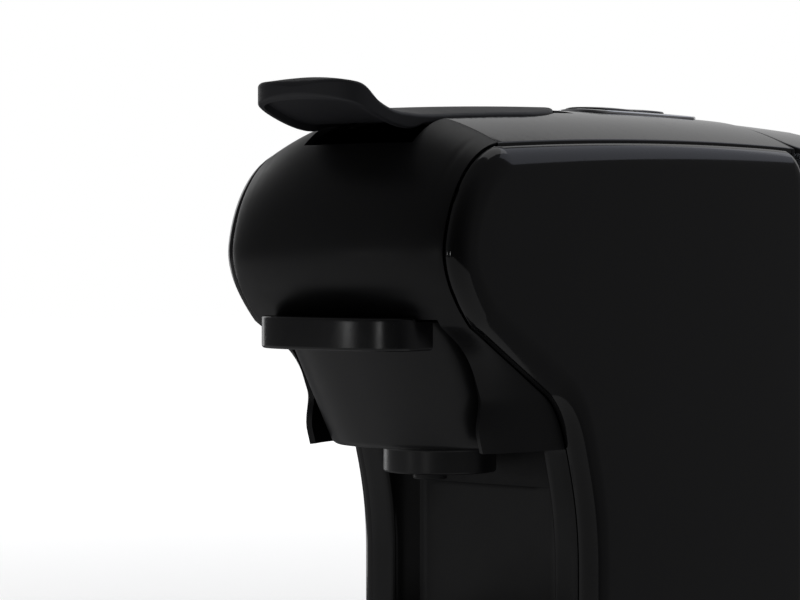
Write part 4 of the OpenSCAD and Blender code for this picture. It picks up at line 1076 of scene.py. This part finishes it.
stage()
soft_light("top_box", (-0.1, 0.7, 1.6), (0, 0, 0.1), (1.3, 1.0), 0.55)
soft_light("left_box", (-1.5, 0.35, 0.4), (0, -0.1, 0.15), (0.5, 1.1), 1.2)
soft_light("front_strip", (0.27, -1.57, 0.1), (0, -0.1, 0.13), (0.17, 0.13), 4.0)
soft_light("near_strip", (-0.62, -1.5, 0.1), (0, -0.1, 0.13), (0.14, 0.13), 3.2)
soft_light("floor_fill", (-0.2, -0.6, 0.004), (-0.2, -0.6, 1.0), (1.6, 1.1), 0.17)
soft_light("back_panel", (-0.95, 1.5, 0.75), (0, 0, 0.2), (2.6, 1.2), 0.37)
soft_light("back_sky", (0.35, 1.25, 1.15), (0, 0, 0.2), (1.3, 0.9), 0.4, (0.82, 0.86, 1.0))

# the room is darker on the photograph's side
VIEW_A, VIEW_D = math.radians(40), 1.061
world = bpy.data.worlds.new("studio")
bpy.context.scene.world = world
world.use_nodes = True
wt = world.node_tree
bg = next(n for n in wt.nodes if n.type == "BACKGROUND")
path = wt.nodes.new("ShaderNodeLightPath")
way = wt.nodes.new("ShaderNodeTexCoord")
dot = wt.nodes.new("ShaderNodeVectorMath")
dot.operation = "DOT_PRODUCT"
dot.inputs[1].default_value = (math.sin(VIEW_A), -math.cos(VIEW_A), 0)
dim = wt.nodes.new("ShaderNodeMapRange")
for i, v in zip(range(1, 5), (0.35, 0.95, 1.0, 0.25)):
    dim.inputs[i].default_value = v
room = wt.nodes.new("ShaderNodeMix")
room.data_type = "RGBA"
room.inputs[6].default_value = (0, 0, 0, 1)
room.inputs[7].default_value = (0.105, 0.105, 0.108, 1)
pale = wt.nodes.new("ShaderNodeMix")
pale.data_type = "RGBA"
pale.inputs[7].default_value = (1, 1, 1, 1)
wt.links.new(way.outputs["Generated"], dot.inputs[0])
wt.links.new(dot.outputs["Value"], dim.inputs[0])
wt.links.new(dim.outputs[0], room.inputs["Factor"])
wt.links.new(room.outputs[2], pale.inputs[6])
wt.links.new(path.outputs["Is Camera Ray"], pale.inputs["Factor"])
wt.links.new(pale.outputs[2], bg.inputs["Color"])

cam = bpy.data.cameras.new("camera")
cam.sensor_width, cam.lens = 36, 127.9
cam.shift_x, cam.shift_y = 0.0761, -0.0688
cam.clip_start, cam.clip_end = 0.05, 30
eye = bpy.data.objects.new("camera", cam)
bpy.context.scene.collection.objects.link(eye)
# level with the head and 40 degrees to its right, aimed at the middle of its face
side, ahead = math.sin(VIEW_A), -math.cos(VIEW_A)
eye.location = (VIEW_D * side, -0.135 + VIEW_D * ahead, FACE_Z / 1000)
eye.rotation_mode = "QUATERNION"
eye.rotation_quaternion = Vector((-side, -ahead, 0)).to_track_quat("-Z", "Y")
bpy.context.scene.camera = eye
bpy.context.scene.view_settings.view_transform = "Standard"

bpy.context.view_layer.update()
